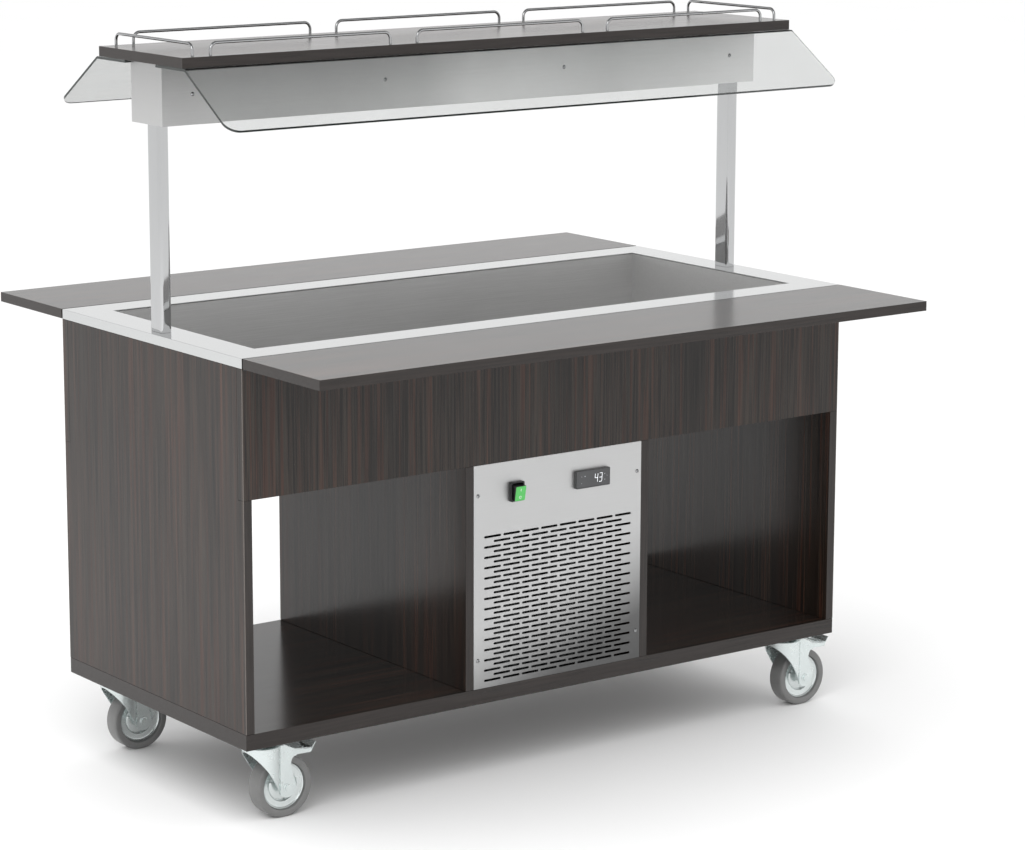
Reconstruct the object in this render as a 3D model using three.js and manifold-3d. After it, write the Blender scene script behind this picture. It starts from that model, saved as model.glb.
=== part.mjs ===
// Mobile refrigerated salad bar: a panel carcass on four braked casters, a cold well let into a
// stainless worktop, two drop-leaf tray shelves and a canopy on two posts.
// Millimetres. Origin on the floor under the centre of the worktop, +X along the length,
// -Y towards the side with the grille, +Z up.
import * as THREE from "three";
import { mergeVertices } from "three/addons/utils/BufferGeometryUtils.js";
import Module from "manifold-3d";

const wasm = await Module();
wasm.setup();

// ---- Driving dimensions -------------------------------------------------------------------
const LENGTH = 1500;
const DEPTH = 690;
const WORK_HEIGHT = 933;
const CASTER_HEIGHT = 166;
const GAP = 0.3; // clearance between pieces that touch

const BASE_THICK = 32;
const PANEL = 19; // laminated board of the carcass
const CEILING_THICK = 21; // board over the open bays
const TOP_EDGE = 20; // visible edge of the steel worktop
const BAND_HEIGHT = 254.5; // apron under the worktop
const TECH_WIDTH = 425.4; // technical bay between the dividers

const WELL_LENGTH = 1348; // four full-size food pans side by side
const WELL_WIDTH = 538;
const WELL_DEPTH = 210;
const SHEET = 2.5; // stainless sheet of worktop and tub
const FOAM = { wall: 30, floor: 25 };

const SHELF_DEPTH = 263;
const SHELF_THICK = 20;
const SHELF_GAP = 4;

const POST_X = 720;
const POST_SIZE = { x: 25, y: 45, radius: 7.5, wall: 2 };
const BEAM = { length: 1488, depth: 116, height: 120.3, sheet: 2 };
const UNDER_BEAM = 409; // worktop to the underside of the canopy beam
const BOARD = { length: 1514, depth: 318, thick: 20 };
const GLASS = { thick: 5, reach: 324, drop: 103.7, slope: 33.5, bend: 12, corner: 28 };

const RAIL = { wire: 6, height: 26, bend: 14 };
const RAIL_LONG = { length: 415, pitch: 479, y: 145 };
const RAIL_END = { length: 289, x: 726 };

const WHEEL = { radius: 62.5, width: 38, segments: 24 };
const CASTER_X = 671;
const CASTER_Y = 278;
const TRAIL = 38; // swivel axis to axle

// Heights that follow from the above
const BASE_TOP = CASTER_HEIGHT + BASE_THICK;
const CARCASS_TOP = WORK_HEIGHT - TOP_EDGE;
const BAND_BOTTOM = CARCASS_TOP - BAND_HEIGHT;
const BEAM_BOTTOM = WORK_HEIGHT + UNDER_BEAM;
const BEAM_TOP = BEAM_BOTTOM + BEAM.height;
const BOARD_BOTTOM = BEAM_TOP + GAP;
const BOARD_TOP = BOARD_BOTTOM + BOARD.thick;

// ---- Materials ----------------------------------------------------------------------------
const finish = (color, roughness, metalness, extra = {}) =>
  new THREE.MeshStandardMaterial({ color, roughness, metalness, ...extra });
const wenge = () => finish(0x453c39, 0.4, 0);
const brushedSteel = () => finish(0xc9cbcb, 0.35, 1);
const polishedSteel = () => finish(0xe2e4e6, 0.08, 1);
const zincPlate = () => finish(0xc8d2d2, 0.3, 0.9);
const clearGlass = () => finish(0xdfe6e4, 0.05, 0, { transparent: true, opacity: 0.25 });
const greyRubber = () => finish(0x747474, 0.7, 0);
const blackPlastic = () => finish(0x0c0c0c, 0.4, 0);

// ---- Solids: closed geometries, joined and cut --------------------------------------------
function solidOf(geometry) {
  const bare = geometry.index ? geometry.toNonIndexed() : geometry.clone();
  bare.deleteAttribute("normal");
  bare.deleteAttribute("uv");
  const merged = mergeVertices(bare, 1e-4);
  return new wasm.Manifold(
    new wasm.Mesh({
      numProp: 3,
      vertProperties: new Float32Array(merged.attributes.position.array),
      triVerts: new Uint32Array(merged.index.array),
    }),
  );
}

function geometryOf(solid) {
  const mesh = solid.getMesh();
  const geometry = new THREE.BufferGeometry();
  geometry.setAttribute("position", new THREE.BufferAttribute(mesh.vertProperties, 3));
  geometry.setIndex(new THREE.BufferAttribute(mesh.triVerts, 1));
  geometry.computeVertexNormals();
  return geometry;
}

const join = (...pieces) =>
  geometryOf(pieces.map(solidOf).reduce((whole, piece) => whole.add(piece)));
const cut = (body, ...tools) =>
  geometryOf(tools.map(solidOf).reduce((left, tool) => left.subtract(tool), solidOf(body)));
const common = (a, b) => geometryOf(solidOf(a).intersect(solidOf(b)));

// ---- Forms --------------------------------------------------------------------------------
function box([x0, x1], [y0, y1], [z0, z1]) {
  return new THREE.BoxGeometry(x1 - x0, y1 - y0, z1 - z0).translate(
    (x0 + x1) / 2,
    (y0 + y1) / 2,
    (z0 + z1) / 2,
  );
}

const polygon = (points) => new THREE.Shape(points.map(([a, b]) => new THREE.Vector2(a, b)));

// A rectangle centred on (a, b), for an outline or a hole.
const rectangle = (a, b, width, height) =>
  polygon([
    [a - width / 2, b - height / 2],
    [a + width / 2, b - height / 2],
    [a + width / 2, b + height / 2],
    [a - width / 2, b + height / 2],
  ]);

function roundHole(a, b, radius) {
  const hole = new THREE.Path();
  hole.absarc(a, b, radius, 0, 2 * Math.PI, true);
  return hole;
}

function extrude(shape, depth, curveSegments) {
  return new THREE.ExtrudeGeometry(shape, { depth, bevelEnabled: false, curveSegments });
}

// A plan outline (x, y) raised from z0 to z1.
const raise = (shape, [z0, z1], curveSegments = 4) =>
  extrude(shape, z1 - z0, curveSegments).translate(0, 0, z0);

// A front outline (x, z) carried from y0 to y1.
const carryY = (shape, [y0, y1], curveSegments = 4) =>
  extrude(shape, y1 - y0, curveSegments).rotateX(Math.PI / 2).translate(0, y1, 0);

// A side outline (y, z) carried from x0 to x1.
function carryX(shape, [x0, x1], curveSegments = 4) {
  const sideways = new THREE.Matrix4().makeBasis(
    new THREE.Vector3(0, 1, 0),
    new THREE.Vector3(0, 0, 1),
    new THREE.Vector3(1, 0, 0),
  );
  return extrude(shape, x1 - x0, curveSegments).applyMatrix4(sideways).translate(x0, 0, 0);
}

// Revolves a closed outline of [radius, height] points about the vertical axis. Flats, and not
// corners, lie at the four quarters.
function revolve(points, segments) {
  const outline = [...points, points[0]].map(([r, h]) => new THREE.Vector2(r, h));
  const area = outline.reduce((sum, p, i) => {
    const q = outline[(i + 1) % outline.length];
    return sum + p.x * q.y - q.x * p.y;
  }, 0);
  if (area < 0) outline.reverse();
  return new THREE.LatheGeometry(outline, segments, Math.PI / segments).rotateX(Math.PI / 2);
}

// The same about an axis along Y; heights run along +Y.
const revolveY = (points, segments) => revolve(points, segments).rotateX(-Math.PI / 2);

const disc = (radius, [z0, z1], segments = 12) =>
  new THREE.CylinderGeometry(radius, radius, z1 - z0, segments)
    .rotateX(Math.PI / 2)
    .translate(0, 0, (z0 + z1) / 2);

// A round bar along X or Y.
const barX = (radius, [x0, x1], y, z, segments = 10) =>
  disc(radius, [x0, x1], segments).rotateY(Math.PI / 2).translate(0, y, z);
const barY = (radius, [y0, y1], x, z, segments = 10) =>
  disc(radius, [y0, y1], segments).rotateX(-Math.PI / 2).translate(x, 0, z);

function roundedRectangle(width, height, radius) {
  const [w, h] = [width / 2, height / 2];
  const shape = new THREE.Shape();
  shape.moveTo(w - radius, -h);
  shape.absarc(w - radius, -h + radius, radius, -Math.PI / 2, 0, false);
  shape.absarc(w - radius, h - radius, radius, 0, Math.PI / 2, false);
  shape.absarc(-w + radius, h - radius, radius, Math.PI / 2, Math.PI, false);
  shape.absarc(-w + radius, -h + radius, radius, Math.PI, 1.5 * Math.PI, false);
  return shape;
}

// Carries a round section along straight stretches and bends given as a list of points, with one
// section at each point.
class PointPath extends THREE.Curve {
  constructor(points) {
    super();
    this.points = points;
  }
  getPoint(t) {
    const place = t * (this.points.length - 1);
    const i = Math.min(Math.floor(place), this.points.length - 2);
    return this.points[i].clone().lerp(this.points[i + 1], place - i);
  }
  getPointAt(u) {
    return this.getPoint(u);
  }
  getTangentAt(u) {
    const i = Math.round(u * (this.points.length - 1));
    const before = this.points[Math.max(i - 1, 0)];
    const after = this.points[Math.min(i + 1, this.points.length - 1)];
    const here = this.points[i];
    const inward = here.clone().sub(before).normalize();
    const outward = after.clone().sub(here).normalize();
    return inward.add(outward).normalize();
  }
}

function wire(points, radius, sides = 6) {
  const section = new THREE.Shape();
  section.absarc(0, 0, radius, 0, 2 * Math.PI, false);
  return new THREE.ExtrudeGeometry(section, {
    steps: points.length - 1,
    extrudePath: new PointPath(points),
    curveSegments: sides / 2,
  });
}

// ---- The object ---------------------------------------------------------------------------
const saladBar = new THREE.Group();

function add(parent, name, geometry, material) {
  const mesh = new THREE.Mesh(geometry, material);
  mesh.name = name;
  parent.add(mesh);
  return mesh;
}

const halfL = LENGTH / 2;
const halfD = DEPTH / 2;
const SIDES = [
  ["left", -1],
  ["right", 1],
];
const FACES = [
  ["front", -1],
  ["rear", 1],
];
// A stretch from a to b on the side given by sign, low end first.
const span = (sign, a, b) => (sign < 0 ? [-b, -a] : [a, b]);

function carcass() {
  const inner = halfL - PANEL;
  add(saladBar, "base_panel", box([-halfL, halfL], [-halfD, halfD], [CASTER_HEIGHT, BASE_TOP]), wenge());

  // The end panels are notched at the top for the two aprons, which run the full length.
  const notch = halfD - PANEL - GAP;
  const endOutline = polygon([
    [-halfD, BASE_TOP + GAP],
    [halfD, BASE_TOP + GAP],
    [halfD, BAND_BOTTOM - GAP],
    [notch, BAND_BOTTOM - GAP],
    [notch, CARCASS_TOP - GAP],
    [-notch, CARCASS_TOP - GAP],
    [-notch, BAND_BOTTOM - GAP],
    [-halfD, BAND_BOTTOM - GAP],
  ]);
  for (const [side, sign] of SIDES)
    add(saladBar, "side_panel_" + side, carryX(endOutline, span(sign, inner, halfL)), wenge());

  const band = [BAND_BOTTOM, CARCASS_TOP - GAP];
  for (const [face, sign] of FACES)
    add(
      saladBar,
      face + "_apron",
      box([-halfL, halfL], span(sign, halfD - PANEL, halfD), band),
      wenge(),
    );

  const dividerFace = TECH_WIDTH / 2 + GAP;
  for (const [side, sign] of SIDES)
    add(
      saladBar,
      "divider_" + side,
      box(
        span(sign, dividerFace, dividerFace + PANEL),
        [-halfD, halfD],
        [BASE_TOP + GAP, BAND_BOTTOM - GAP],
      ),
      wenge(),
    );
  const ceilingTop = BAND_BOTTOM + CEILING_THICK;
  const board = box(
    [-inner + GAP, inner - GAP],
    [-halfD + PANEL + GAP, halfD - PANEL - GAP],
    [BAND_BOTTOM, ceilingTop],
  );
  const drainHole = disc(DRAIN.radius + DRAIN.room, [BAND_BOTTOM - 1, ceilingTop + 1]);
  add(saladBar, "bay_ceiling", cut(board, drainHole.translate(DRAIN.x, DRAIN.y, 0)), wenge());
}

// ---- Worktop and cold well ----------------------------------------------------------------
const DRAIN = { x: -150, y: 120, radius: 24, end: 630, room: 6 };
const WELL_FLOOR = WORK_HEIGHT - WELL_DEPTH;
const EVAPORATOR = { passes: 4, pitch: 120, radius: 4, reach: 600, sunk: 2, bendSteps: 3 };

function worktop() {
  const tray = box([-halfL, halfL], [-halfD, halfD], [CARCASS_TOP, WORK_HEIGHT]);
  const under = box(
    [-halfL + SHEET, halfL - SHEET],
    [-halfD + SHEET, halfD - SHEET],
    [CARCASS_TOP - 1, WORK_HEIGHT - SHEET],
  );
  const opening = box(
    [-WELL_LENGTH / 2, WELL_LENGTH / 2],
    [-WELL_WIDTH / 2, WELL_WIDTH / 2],
    [CARCASS_TOP - 1, WORK_HEIGHT + 1],
  );
  add(saladBar, "worktop", cut(tray, under, opening), brushedSteel());
}

// A serpentine evaporator tube is brazed under the tub floor.
function evaporatorTube() {
  const { passes, pitch, radius, reach, sunk, bendSteps } = EVAPORATOR;
  const z = WELL_FLOOR - SHEET - sunk;
  const points = [];
  for (let i = 0; i < passes; i++) {
    const y = (i - (passes - 1) / 2) * pitch;
    const way = i % 2 ? -1 : 1;
    if (i === 0) points.push(new THREE.Vector3(-reach, y, z));
    if (i === passes - 1) {
      points.push(new THREE.Vector3(way * reach, y, z));
      break;
    }
    for (let k = 0; k <= bendSteps; k++) {
      const turn = (k / bendSteps) * Math.PI;
      const x = way * (reach - pitch / 2 + (pitch / 2) * Math.sin(turn));
      points.push(new THREE.Vector3(x, y + (pitch / 2) * (1 - Math.cos(turn)), z));
    }
  }
  return wire(points, radius, 4);
}

function well() {
  const [l, w] = [WELL_LENGTH / 2, WELL_WIDTH / 2];
  const under = WORK_HEIGHT - SHEET - GAP;
  const flange = 18;
  const rim = box([-l - flange, l + flange], [-w - flange, w + flange], [under - SHEET, under]);
  const wallBox = box([-l - SHEET, l + SHEET], [-w - SHEET, w + SHEET], [WELL_FLOOR - SHEET, under]);
  const hollow = box([-l, l], [-w, w], [WELL_FLOOR, under + 1]);
  // The drain spigot is closed here; its bore is under the strainer.
  const { x, y, radius, end } = DRAIN;
  const spigot = disc(radius, [end, WELL_FLOOR - 1]).translate(x, y, 0);
  const tub = cut(join(rim, wallBox, spigot, evaporatorTube()), hollow);
  add(saladBar, "well_tub", tub, brushedSteel());

  const room = SHEET + 1;
  const lowest = WELL_FLOOR - SHEET - EVAPORATOR.radius - EVAPORATOR.sunk - 3;
  const foam = box(
    [-l - room - FOAM.wall, l + room + FOAM.wall],
    [-w - room - FOAM.wall, w + room + FOAM.wall],
    [lowest - FOAM.floor, under - SHEET - GAP],
  );
  const inside = box([-l - room, l + room], [-w - room, w + room], [lowest, under]);
  const passage = disc(radius + 4, [lowest - FOAM.floor - 1, lowest + 1]).translate(x, y, 0);
  add(saladBar, "well_insulation", cut(foam, inside, passage), finish(0xd9c99a, 0.9, 0));
}

// ---- Technical bay ------------------------------------------------------------------------
const GRILLE = {
  rows: 29,
  perRow: 8,
  slot: 41.5,
  pitch: 47.4,
  height: 4,
  rowPitch: 10.6,
  topRow: 509.7,
  sheet: 2,
  flange: 12,
};
// The bezels cover the edges of their cut-outs in the grille sheet.
const SWITCH = { x: -109, z: 595, width: 34, height: 40, proud: 8, cover: 2, depth: 26 };
const ROCKER = { width: 25, height: 32, proud: 15, tilt: 10, pivotY: -348, pin: 1.5, play: 0.4 };
const THERMOSTAT = { x: 82, z: 598, width: 86, height: 37, proud: 8.5, cover: 3, depth: 55 };

// A punch for a rectangular hole in the face of a folded panel.
const punch = (x, z, width, height) =>
  box(
    [x - width / 2, x + width / 2],
    [-halfD - 1, -halfD + GRILLE.sheet + 1],
    [z - height / 2, z + height / 2],
  );

// A flat sheet with its four edges folded back by the flange depth, and then punched.
function foldedPanel(punches) {
  const { sheet, flange } = GRILLE;
  const half = TECH_WIDTH / 2 - GAP;
  const [bottom, top] = [BASE_TOP + GAP, BAND_BOTTOM - 2 * GAP];
  const outside = box([-half, half], [-halfD, -halfD + flange], [bottom, top]);
  const inside = box(
    [-half + sheet, half - sheet],
    [-halfD + sheet, -halfD + flange + 1],
    [bottom + sheet, top - sheet],
  );
  return cut(outside, inside, ...punches);
}

// Slots in staggered rows: every other row has one less.
function grillePanel() {
  const { rows, perRow, slot, pitch, height, rowPitch, topRow } = GRILLE;
  const punches = [];
  for (let row = 0; row < rows; row++) {
    const count = perRow - (row % 2);
    for (let i = 0; i < count; i++)
      punches.push(punch((i - (count - 1) / 2) * pitch, topRow - row * rowPitch, slot, height));
  }
  for (const { x, z, width, height: tall, cover } of [SWITCH, THERMOSTAT])
    punches.push(punch(x, z, width - 2 * cover, tall - 2 * cover));
  add(saladBar, "grille_panel", foldedPanel(punches), brushedSteel());
}

const LOUVRE = { rows: 10, length: 160, height: 8, pitch: 30, top: 560, x: 95 };
const GLAND = { x: 150, z: 232, hex: 16, nut: 7, radius: 11, length: 18, bore: 5 };

// The same folded sheet with wide slots and the gland of the mains lead, turned to face +Y.
function rearPanel() {
  const punches = [];
  for (let row = 0; row < LOUVRE.rows; row++)
    for (const side of [-LOUVRE.x, LOUVRE.x])
      punches.push(punch(side, LOUVRE.top - row * LOUVRE.pitch, LOUVRE.length, LOUVRE.height));
  const { x, z, hex, nut, radius, length, bore } = GLAND;
  const panel = cut(
    join(
      foldedPanel(punches),
      barY(hex, [-halfD - nut, -halfD + 1], x, z, 6),
      barY(radius, [-halfD - length, -halfD], x, z, 8),
    ),
    barY(bore, [-halfD - length - 1, -halfD + GRILLE.sheet + 1], x, z, 6),
  );
  add(saladBar, "rear_vent_panel", panel.rotateZ(Math.PI), brushedSteel());
}

function controls() {
  const face = -halfD;
  const outline = roundedRectangle(SWITCH.width, SWITCH.height, 3);
  outline.holes = [roundedRectangle(ROCKER.width + 2, ROCKER.height + 2, 1)];
  const bezel = carryY(outline, [face - SWITCH.proud, face - GAP], 1);
  const inset = 2 * SWITCH.cover + 1;
  const bodyEnd = face + SWITCH.depth;
  const shell = carryY(
    rectangle(0, 0, SWITCH.width - inset, SWITCH.height - inset),
    [face - 2, bodyEnd],
  );
  const cavity = carryY(
    rectangle(0, 0, ROCKER.width + 1.4, ROCKER.height + 1.2),
    [face - 3, bodyEnd - 8],
  );
  const pinReach = ROCKER.width / 2 + 1.5;
  const pin = barX(ROCKER.pin, [-pinReach, pinReach], ROCKER.pivotY, 0, 6);
  const blades = [-6, 6].map((x) => box([x - 3, x + 3], [bodyEnd - 1, bodyEnd + 9], [-1, 1]));
  const housing = join(bezel, cut(shell, cavity), pin, ...blades);
  add(saladBar, "switch_housing", housing.translate(SWITCH.x, 0, SWITCH.z), blackPlastic());

  // The rocker has two flat wings that meet over the pivot, so one end stands proud.
  const h = ROCKER.height / 2 - 0.8;
  const front = face - ROCKER.proud;
  const back = ROCKER.pivotY + 6;
  const rockerSide = polygon([
    [back, -h + 3],
    [back, h - 3],
    [face - 3, h],
    [front - 1, h],
    [front + 1.6, 0],
    [front - 1, -h],
    [face - 3, -h],
  ]);
  rockerSide.holes = [roundHole(ROCKER.pivotY, 0, ROCKER.pin + ROCKER.play)];
  const rocker = carryX(rockerSide, [-ROCKER.width / 2, ROCKER.width / 2])
    .translate(0, -ROCKER.pivotY, 0)
    .rotateX(THREE.MathUtils.degToRad(ROCKER.tilt))
    .translate(SWITCH.x, ROCKER.pivotY, SWITCH.z);
  add(saladBar, "switch_rocker", rocker, finish(0x3fbf55, 0.35, 0));

  const { x, z, width, height, proud, cover, depth } = THERMOSTAT;
  const bezelPlate = carryY(roundedRectangle(width, height, 2), [face - proud, face - GAP], 1);
  const inner = cover + 1;
  const caseBody = box(
    [-width / 2 + inner, width / 2 - inner],
    [face - 1, face + depth],
    [-height / 2 + inner, height / 2 - inner],
  );
  const thermostat = join(bezelPlate, caseBody).translate(x, 0, z);
  add(saladBar, "thermostat", thermostat, finish(0x3a3b3d, 0.3, 0));
}

// Half outline of the welded steel can, as [radius, height] above its tray.
const CAN = [
  [0, 0],
  [58, 3],
  [78, 22],
  [80, 88],
  [84, 90],
  [84, 97],
  [76, 100],
  [70, 146],
  [46, 168],
  [0, 176],
];
const COMPRESSOR = { y: 120, foot: 12, tray: 5, trayX: 105, trayY: 85, footX: 88, footY: 68 };

function compressor() {
  const floor = BASE_TOP + GAP;
  const { y, foot, tray, trayX, trayY, footX, footY } = COMPRESSOR;
  const trayHeight = [floor + foot, floor + foot + tray];
  const feet = [-1, 1].flatMap((a) =>
    [-1, 1].map((b) => disc(12, [floor, trayHeight[1] - 1], 6).translate(a * footX, b * footY, 0)),
  );
  const terminalBox = box([70, 100], [-28, 28], [floor + 70, floor + 135]);
  const stubs = [-26, 26].map((x) => barY(5, [-104, -70], x, floor + 95, 6));
  const body = join(
    revolve(CAN, 12).translate(0, 0, trayHeight[1] - 2),
    box([-trayX, trayX], [-trayY, trayY], trayHeight),
    ...feet,
    terminalBox,
    ...stubs,
  );
  add(saladBar, "compressor", body.translate(0, y, 0), finish(0x16181a, 0.4, 0.3));
}

const CONDENSER = { width: 300, top: 495, front: -308, back: -262, fins: 15, web: 14 };
const SHROUD = { plate: 4, clear: 8, wall: 4, depth: 60 };
const FAN = { z: 350, y: -212, tip: 92, hub: 20, shaft: 4, play: 1, blades: 5, pitch: 58, sheet: 2 };
const MOTOR = { radius: 34, front: 22, back: -148, armX: 112, arm: 4, armHeight: 24 };

function condenserAndFan() {
  const { width, top, front, back, fins, web } = CONDENSER;
  const low = BASE_TOP + GAP;
  // The fins are the teeth of a comb that hangs on the tube plate at the back.
  const finPitch = width / (fins - 0.5);
  const comb = [[-width / 2, back]];
  for (let i = 0; i < fins; i++) {
    const x = -width / 2 + i * finPitch;
    comb.push([x, front], [x + finPitch / 2, front]);
    if (i < fins - 1) comb.push([x + finPitch / 2, back - web], [x + finPitch, back - web]);
  }
  comb.push([width / 2, back]);
  const finBlock = raise(polygon(comb), [low, top]);

  const mouth = () => roundHole(0, FAN.z, FAN.tip + SHROUD.clear);
  const plate = rectangle(0, (low + top) / 2, width, top - low);
  plate.holes = [mouth()];
  const ring = new THREE.Shape();
  ring.absarc(0, FAN.z, FAN.tip + SHROUD.clear + SHROUD.wall, 0, 2 * Math.PI, false);
  ring.holes = [mouth()];
  const plateBack = back + SHROUD.plate;
  const collar = carryY(ring, [plateBack - 1, plateBack + SHROUD.depth], 8);

  const armZ = [FAN.z - MOTOR.armHeight / 2, FAN.z + MOTOR.armHeight / 2];
  const reach = MOTOR.armX + MOTOR.arm;
  const arms = [-1, 1].map((s) =>
    box(span(s, MOTOR.armX, reach), [plateBack - 1, MOTOR.back + MOTOR.arm], armZ),
  );
  add(
    saladBar,
    "condenser",
    join(
      finBlock,
      carryY(plate, [back - 1, plateBack], 8),
      collar,
      ...arms,
      box([-reach, reach], [MOTOR.back, MOTOR.back + MOTOR.arm], armZ),
      barY(MOTOR.radius, [FAN.y + MOTOR.front, MOTOR.back + 1], 0, FAN.z),
      barY(FAN.shaft, [FAN.y - 8, FAN.y + MOTOR.front + 2], 0, FAN.z, 8),
    ),
    finish(0xb4b8ba, 0.4, 0.9),
  );

  const bladeShape = new THREE.Shape();
  bladeShape.moveTo(FAN.hub - 4, -7);
  bladeShape.quadraticCurveTo(FAN.tip * 0.6, -34, FAN.tip - 6, -26);
  bladeShape.quadraticCurveTo(FAN.tip, 0, FAN.tip - 6, 22);
  bladeShape.quadraticCurveTo(FAN.tip * 0.55, 18, FAN.hub - 4, 9);
  const blades = [];
  for (let i = 0; i < FAN.blades; i++)
    blades.push(
      extrude(bladeShape, FAN.sheet, 3)
        .translate(0, 0, -FAN.sheet / 2)
        .rotateX(THREE.MathUtils.degToRad(FAN.pitch))
        .rotateY((i * 2 * Math.PI) / FAN.blades)
        .translate(0, FAN.y, FAN.z),
    );
  const hub = barY(FAN.hub, [FAN.y - 14, FAN.y + 14], 0, FAN.z, 12);
  const bore = barY(FAN.shaft + FAN.play, [FAN.y - 9, FAN.y + 15], 0, FAN.z, 8);
  add(saladBar, "fan", cut(join(hub, ...blades), bore), finish(0x2b2d30, 0.5, 0));
}

// ---- Canopy -------------------------------------------------------------------------------
function posts() {
  const { x, y, radius, wall } = POST_SIZE;
  const outline = roundedRectangle(x, y, radius);
  outline.holes = [roundedRectangle(x - 2 * wall, y - 2 * wall, radius - wall)];
  for (const [side, sign] of SIDES)
    add(
      saladBar,
      "post_" + side,
      raise(outline, [WORK_HEIGHT + GAP, BEAM_BOTTOM - GAP], 2).translate(sign * POST_X, 0, 0),
      polishedSteel(),
    );
}

const LAMP = { length: 1290, width: 84 };

function beam() {
  const { length, depth, sheet } = BEAM;
  const outer = box([-length / 2, length / 2], [-depth / 2, depth / 2], [BEAM_BOTTOM, BEAM_TOP]);
  const hollow = box(
    [-length / 2 + sheet, length / 2 - sheet],
    [-depth / 2 + sheet, depth / 2 - sheet],
    [BEAM_BOTTOM + sheet, BEAM_TOP - sheet],
  );
  const lampOpening = box(
    [-LAMP.length / 2, LAMP.length / 2],
    [-LAMP.width / 2, LAMP.width / 2],
    [BEAM_BOTTOM - 1, BEAM_BOTTOM + sheet + 1],
  );
  add(saladBar, "canopy_beam", cut(outer, hollow, lampOpening), brushedSteel());

  // The diffuser is a shallow opal trough that rests on the edges of the opening from inside.
  const [l, w] = [LAMP.length / 2, LAMP.width / 2];
  const floor = BEAM_BOTTOM + sheet + GAP;
  const trough = polygon([
    [-w - 6, floor],
    [-w + 2, floor],
    [-w + 2, floor - 5],
    [w - 2, floor - 5],
    [w - 2, floor],
    [w + 6, floor],
    [w + 6, floor + 2],
    [w - 4, floor + 2],
    [w - 4, floor - 3],
    [-w + 4, floor - 3],
    [-w + 4, floor + 2],
    [-w - 6, floor + 2],
  ]);
  add(saladBar, "light_diffuser", carryX(trough, [-l + 2, l - 2]), finish(0xf4f4f0, 0.6, 0));
}

function canopyGlass() {
  const { thick, reach, drop, slope, bend, corner } = GLASS;
  const angle = THREE.MathUtils.degToRad(slope);
  // The flange lies under the board and butts against the side of the beam.
  const inner = BEAM.depth / 2 + GAP;
  const edgeTop = BEAM_TOP;
  // The sheet bends where the sloping part, measured up from its lower edge, meets the flange.
  const bendY = reach - drop / Math.tan(angle);
  const half = BOARD.length / 2;
  const centre = { y: bendY - bend * Math.tan(angle / 2), z: edgeTop - bend };
  const profile = new THREE.Shape();
  const on = (radius, turn) => [
    centre.y + radius * Math.sin(turn),
    centre.z + radius * Math.cos(turn),
  ];
  profile.moveTo(inner, edgeTop);
  profile.lineTo(...on(bend, 0));
  const steps = 3;
  for (let i = 1; i <= steps; i++) profile.lineTo(...on(bend, (angle * i) / steps));
  const down = { y: Math.cos(angle), z: -Math.sin(angle) };
  const along = (reach - on(bend, angle)[0]) / down.y;
  for (const radius of [bend, bend - thick]) {
    const [y, z] = on(radius, angle);
    profile.lineTo(y + along * down.y, z + along * down.z);
  }
  for (let i = steps; i >= 0; i--) profile.lineTo(...on(bend - thick, (angle * i) / steps));
  profile.lineTo(inner, edgeTop - thick);
  const sheet = carryX(profile, [-half, half]);

  // The lower corners are rounded in the plane of the sloping part.
  const [tipY, tipZ] = on(bend, angle).map((v, i) => v + along * (i ? down.z : down.y));
  const cutters = [-1, 1].map((s) => {
    const nib = new THREE.Shape();
    nib.moveTo(0, 0);
    nib.lineTo(0, -2);
    nib.lineTo(corner + 2, -2);
    nib.lineTo(corner + 2, corner);
    nib.lineTo(corner, corner);
    nib.absarc(0, corner, corner, 0, -Math.PI / 2, true);
    const tool = extrude(nib, 4 * thick, 4).translate(0, 0, -2 * thick);
    if (s < 0) tool.rotateY(Math.PI);
    const upSlope = new THREE.Vector3(0, -down.y, -down.z);
    const out = new THREE.Vector3(1, 0, 0);
    const frame = new THREE.Matrix4().makeBasis(out, upSlope, out.clone().cross(upSlope));
    return tool.applyMatrix4(frame).translate(s * (half - corner), tipY, tipZ);
  });
  const rear = cut(sheet, ...cutters);
  add(saladBar, "glass_rear", rear, clearGlass());
  add(saladBar, "glass_front", rear.clone().rotateZ(Math.PI), clearGlass());
}

function canopyBoard() {
  const { length, depth } = BOARD;
  add(
    saladBar,
    "canopy_board",
    box([-length / 2, length / 2], [-depth / 2, depth / 2], [BOARD_BOTTOM, BOARD_TOP]),
    wenge(),
  );
}

// A gallery rail is a wire hoop that stands on its two ends, centred on the origin along X.
function railHoop(length) {
  const [half, bend] = [length / 2, RAIL.bend];
  const [foot, top] = [BOARD_TOP + GAP, BOARD_TOP + RAIL.height];
  const steps = 2;
  const points = [new THREE.Vector3(-half, 0, foot)];
  for (const s of [-1, 1])
    for (let k = 0; k <= steps; k++) {
      const turn = ((s < 0 ? k : steps - k) / steps) * (Math.PI / 2);
      points.push(
        new THREE.Vector3(
          s * (half - bend + bend * Math.cos(turn)),
          0,
          top - bend + bend * Math.sin(turn),
        ),
      );
    }
  points.push(new THREE.Vector3(half, 0, foot));
  return wire(points, RAIL.wire / 2);
}

function gallery() {
  const chrome = () => finish(0xd8dadc, 0.1, 1);
  for (const [face, sign] of FACES)
    for (let i = -1; i <= 1; i++)
      add(
        saladBar,
        "rail_" + face + "_" + (i + 2),
        railHoop(RAIL_LONG.length).translate(i * RAIL_LONG.pitch, sign * RAIL_LONG.y, 0),
        chrome(),
      );
  for (const [side, sign] of SIDES)
    add(
      saladBar,
      "rail_" + side,
      railHoop(RAIL_END.length).rotateZ(Math.PI / 2).translate(sign * RAIL_END.x, 0, 0),
      chrome(),
    );
}

// ---- Drop-leaf tray shelves ---------------------------------------------------------------
// The shelf hinges on three lugs under its inner edge and folds down past the apron.
const HINGE = {
  out: 30,
  z: 888,
  pin: 4,
  xs: [-500, 0, 500],
  arm: 6,
  lugGap: 8,
  lug: 4,
  strip: 1120,
  sheet: 3,
};

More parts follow.
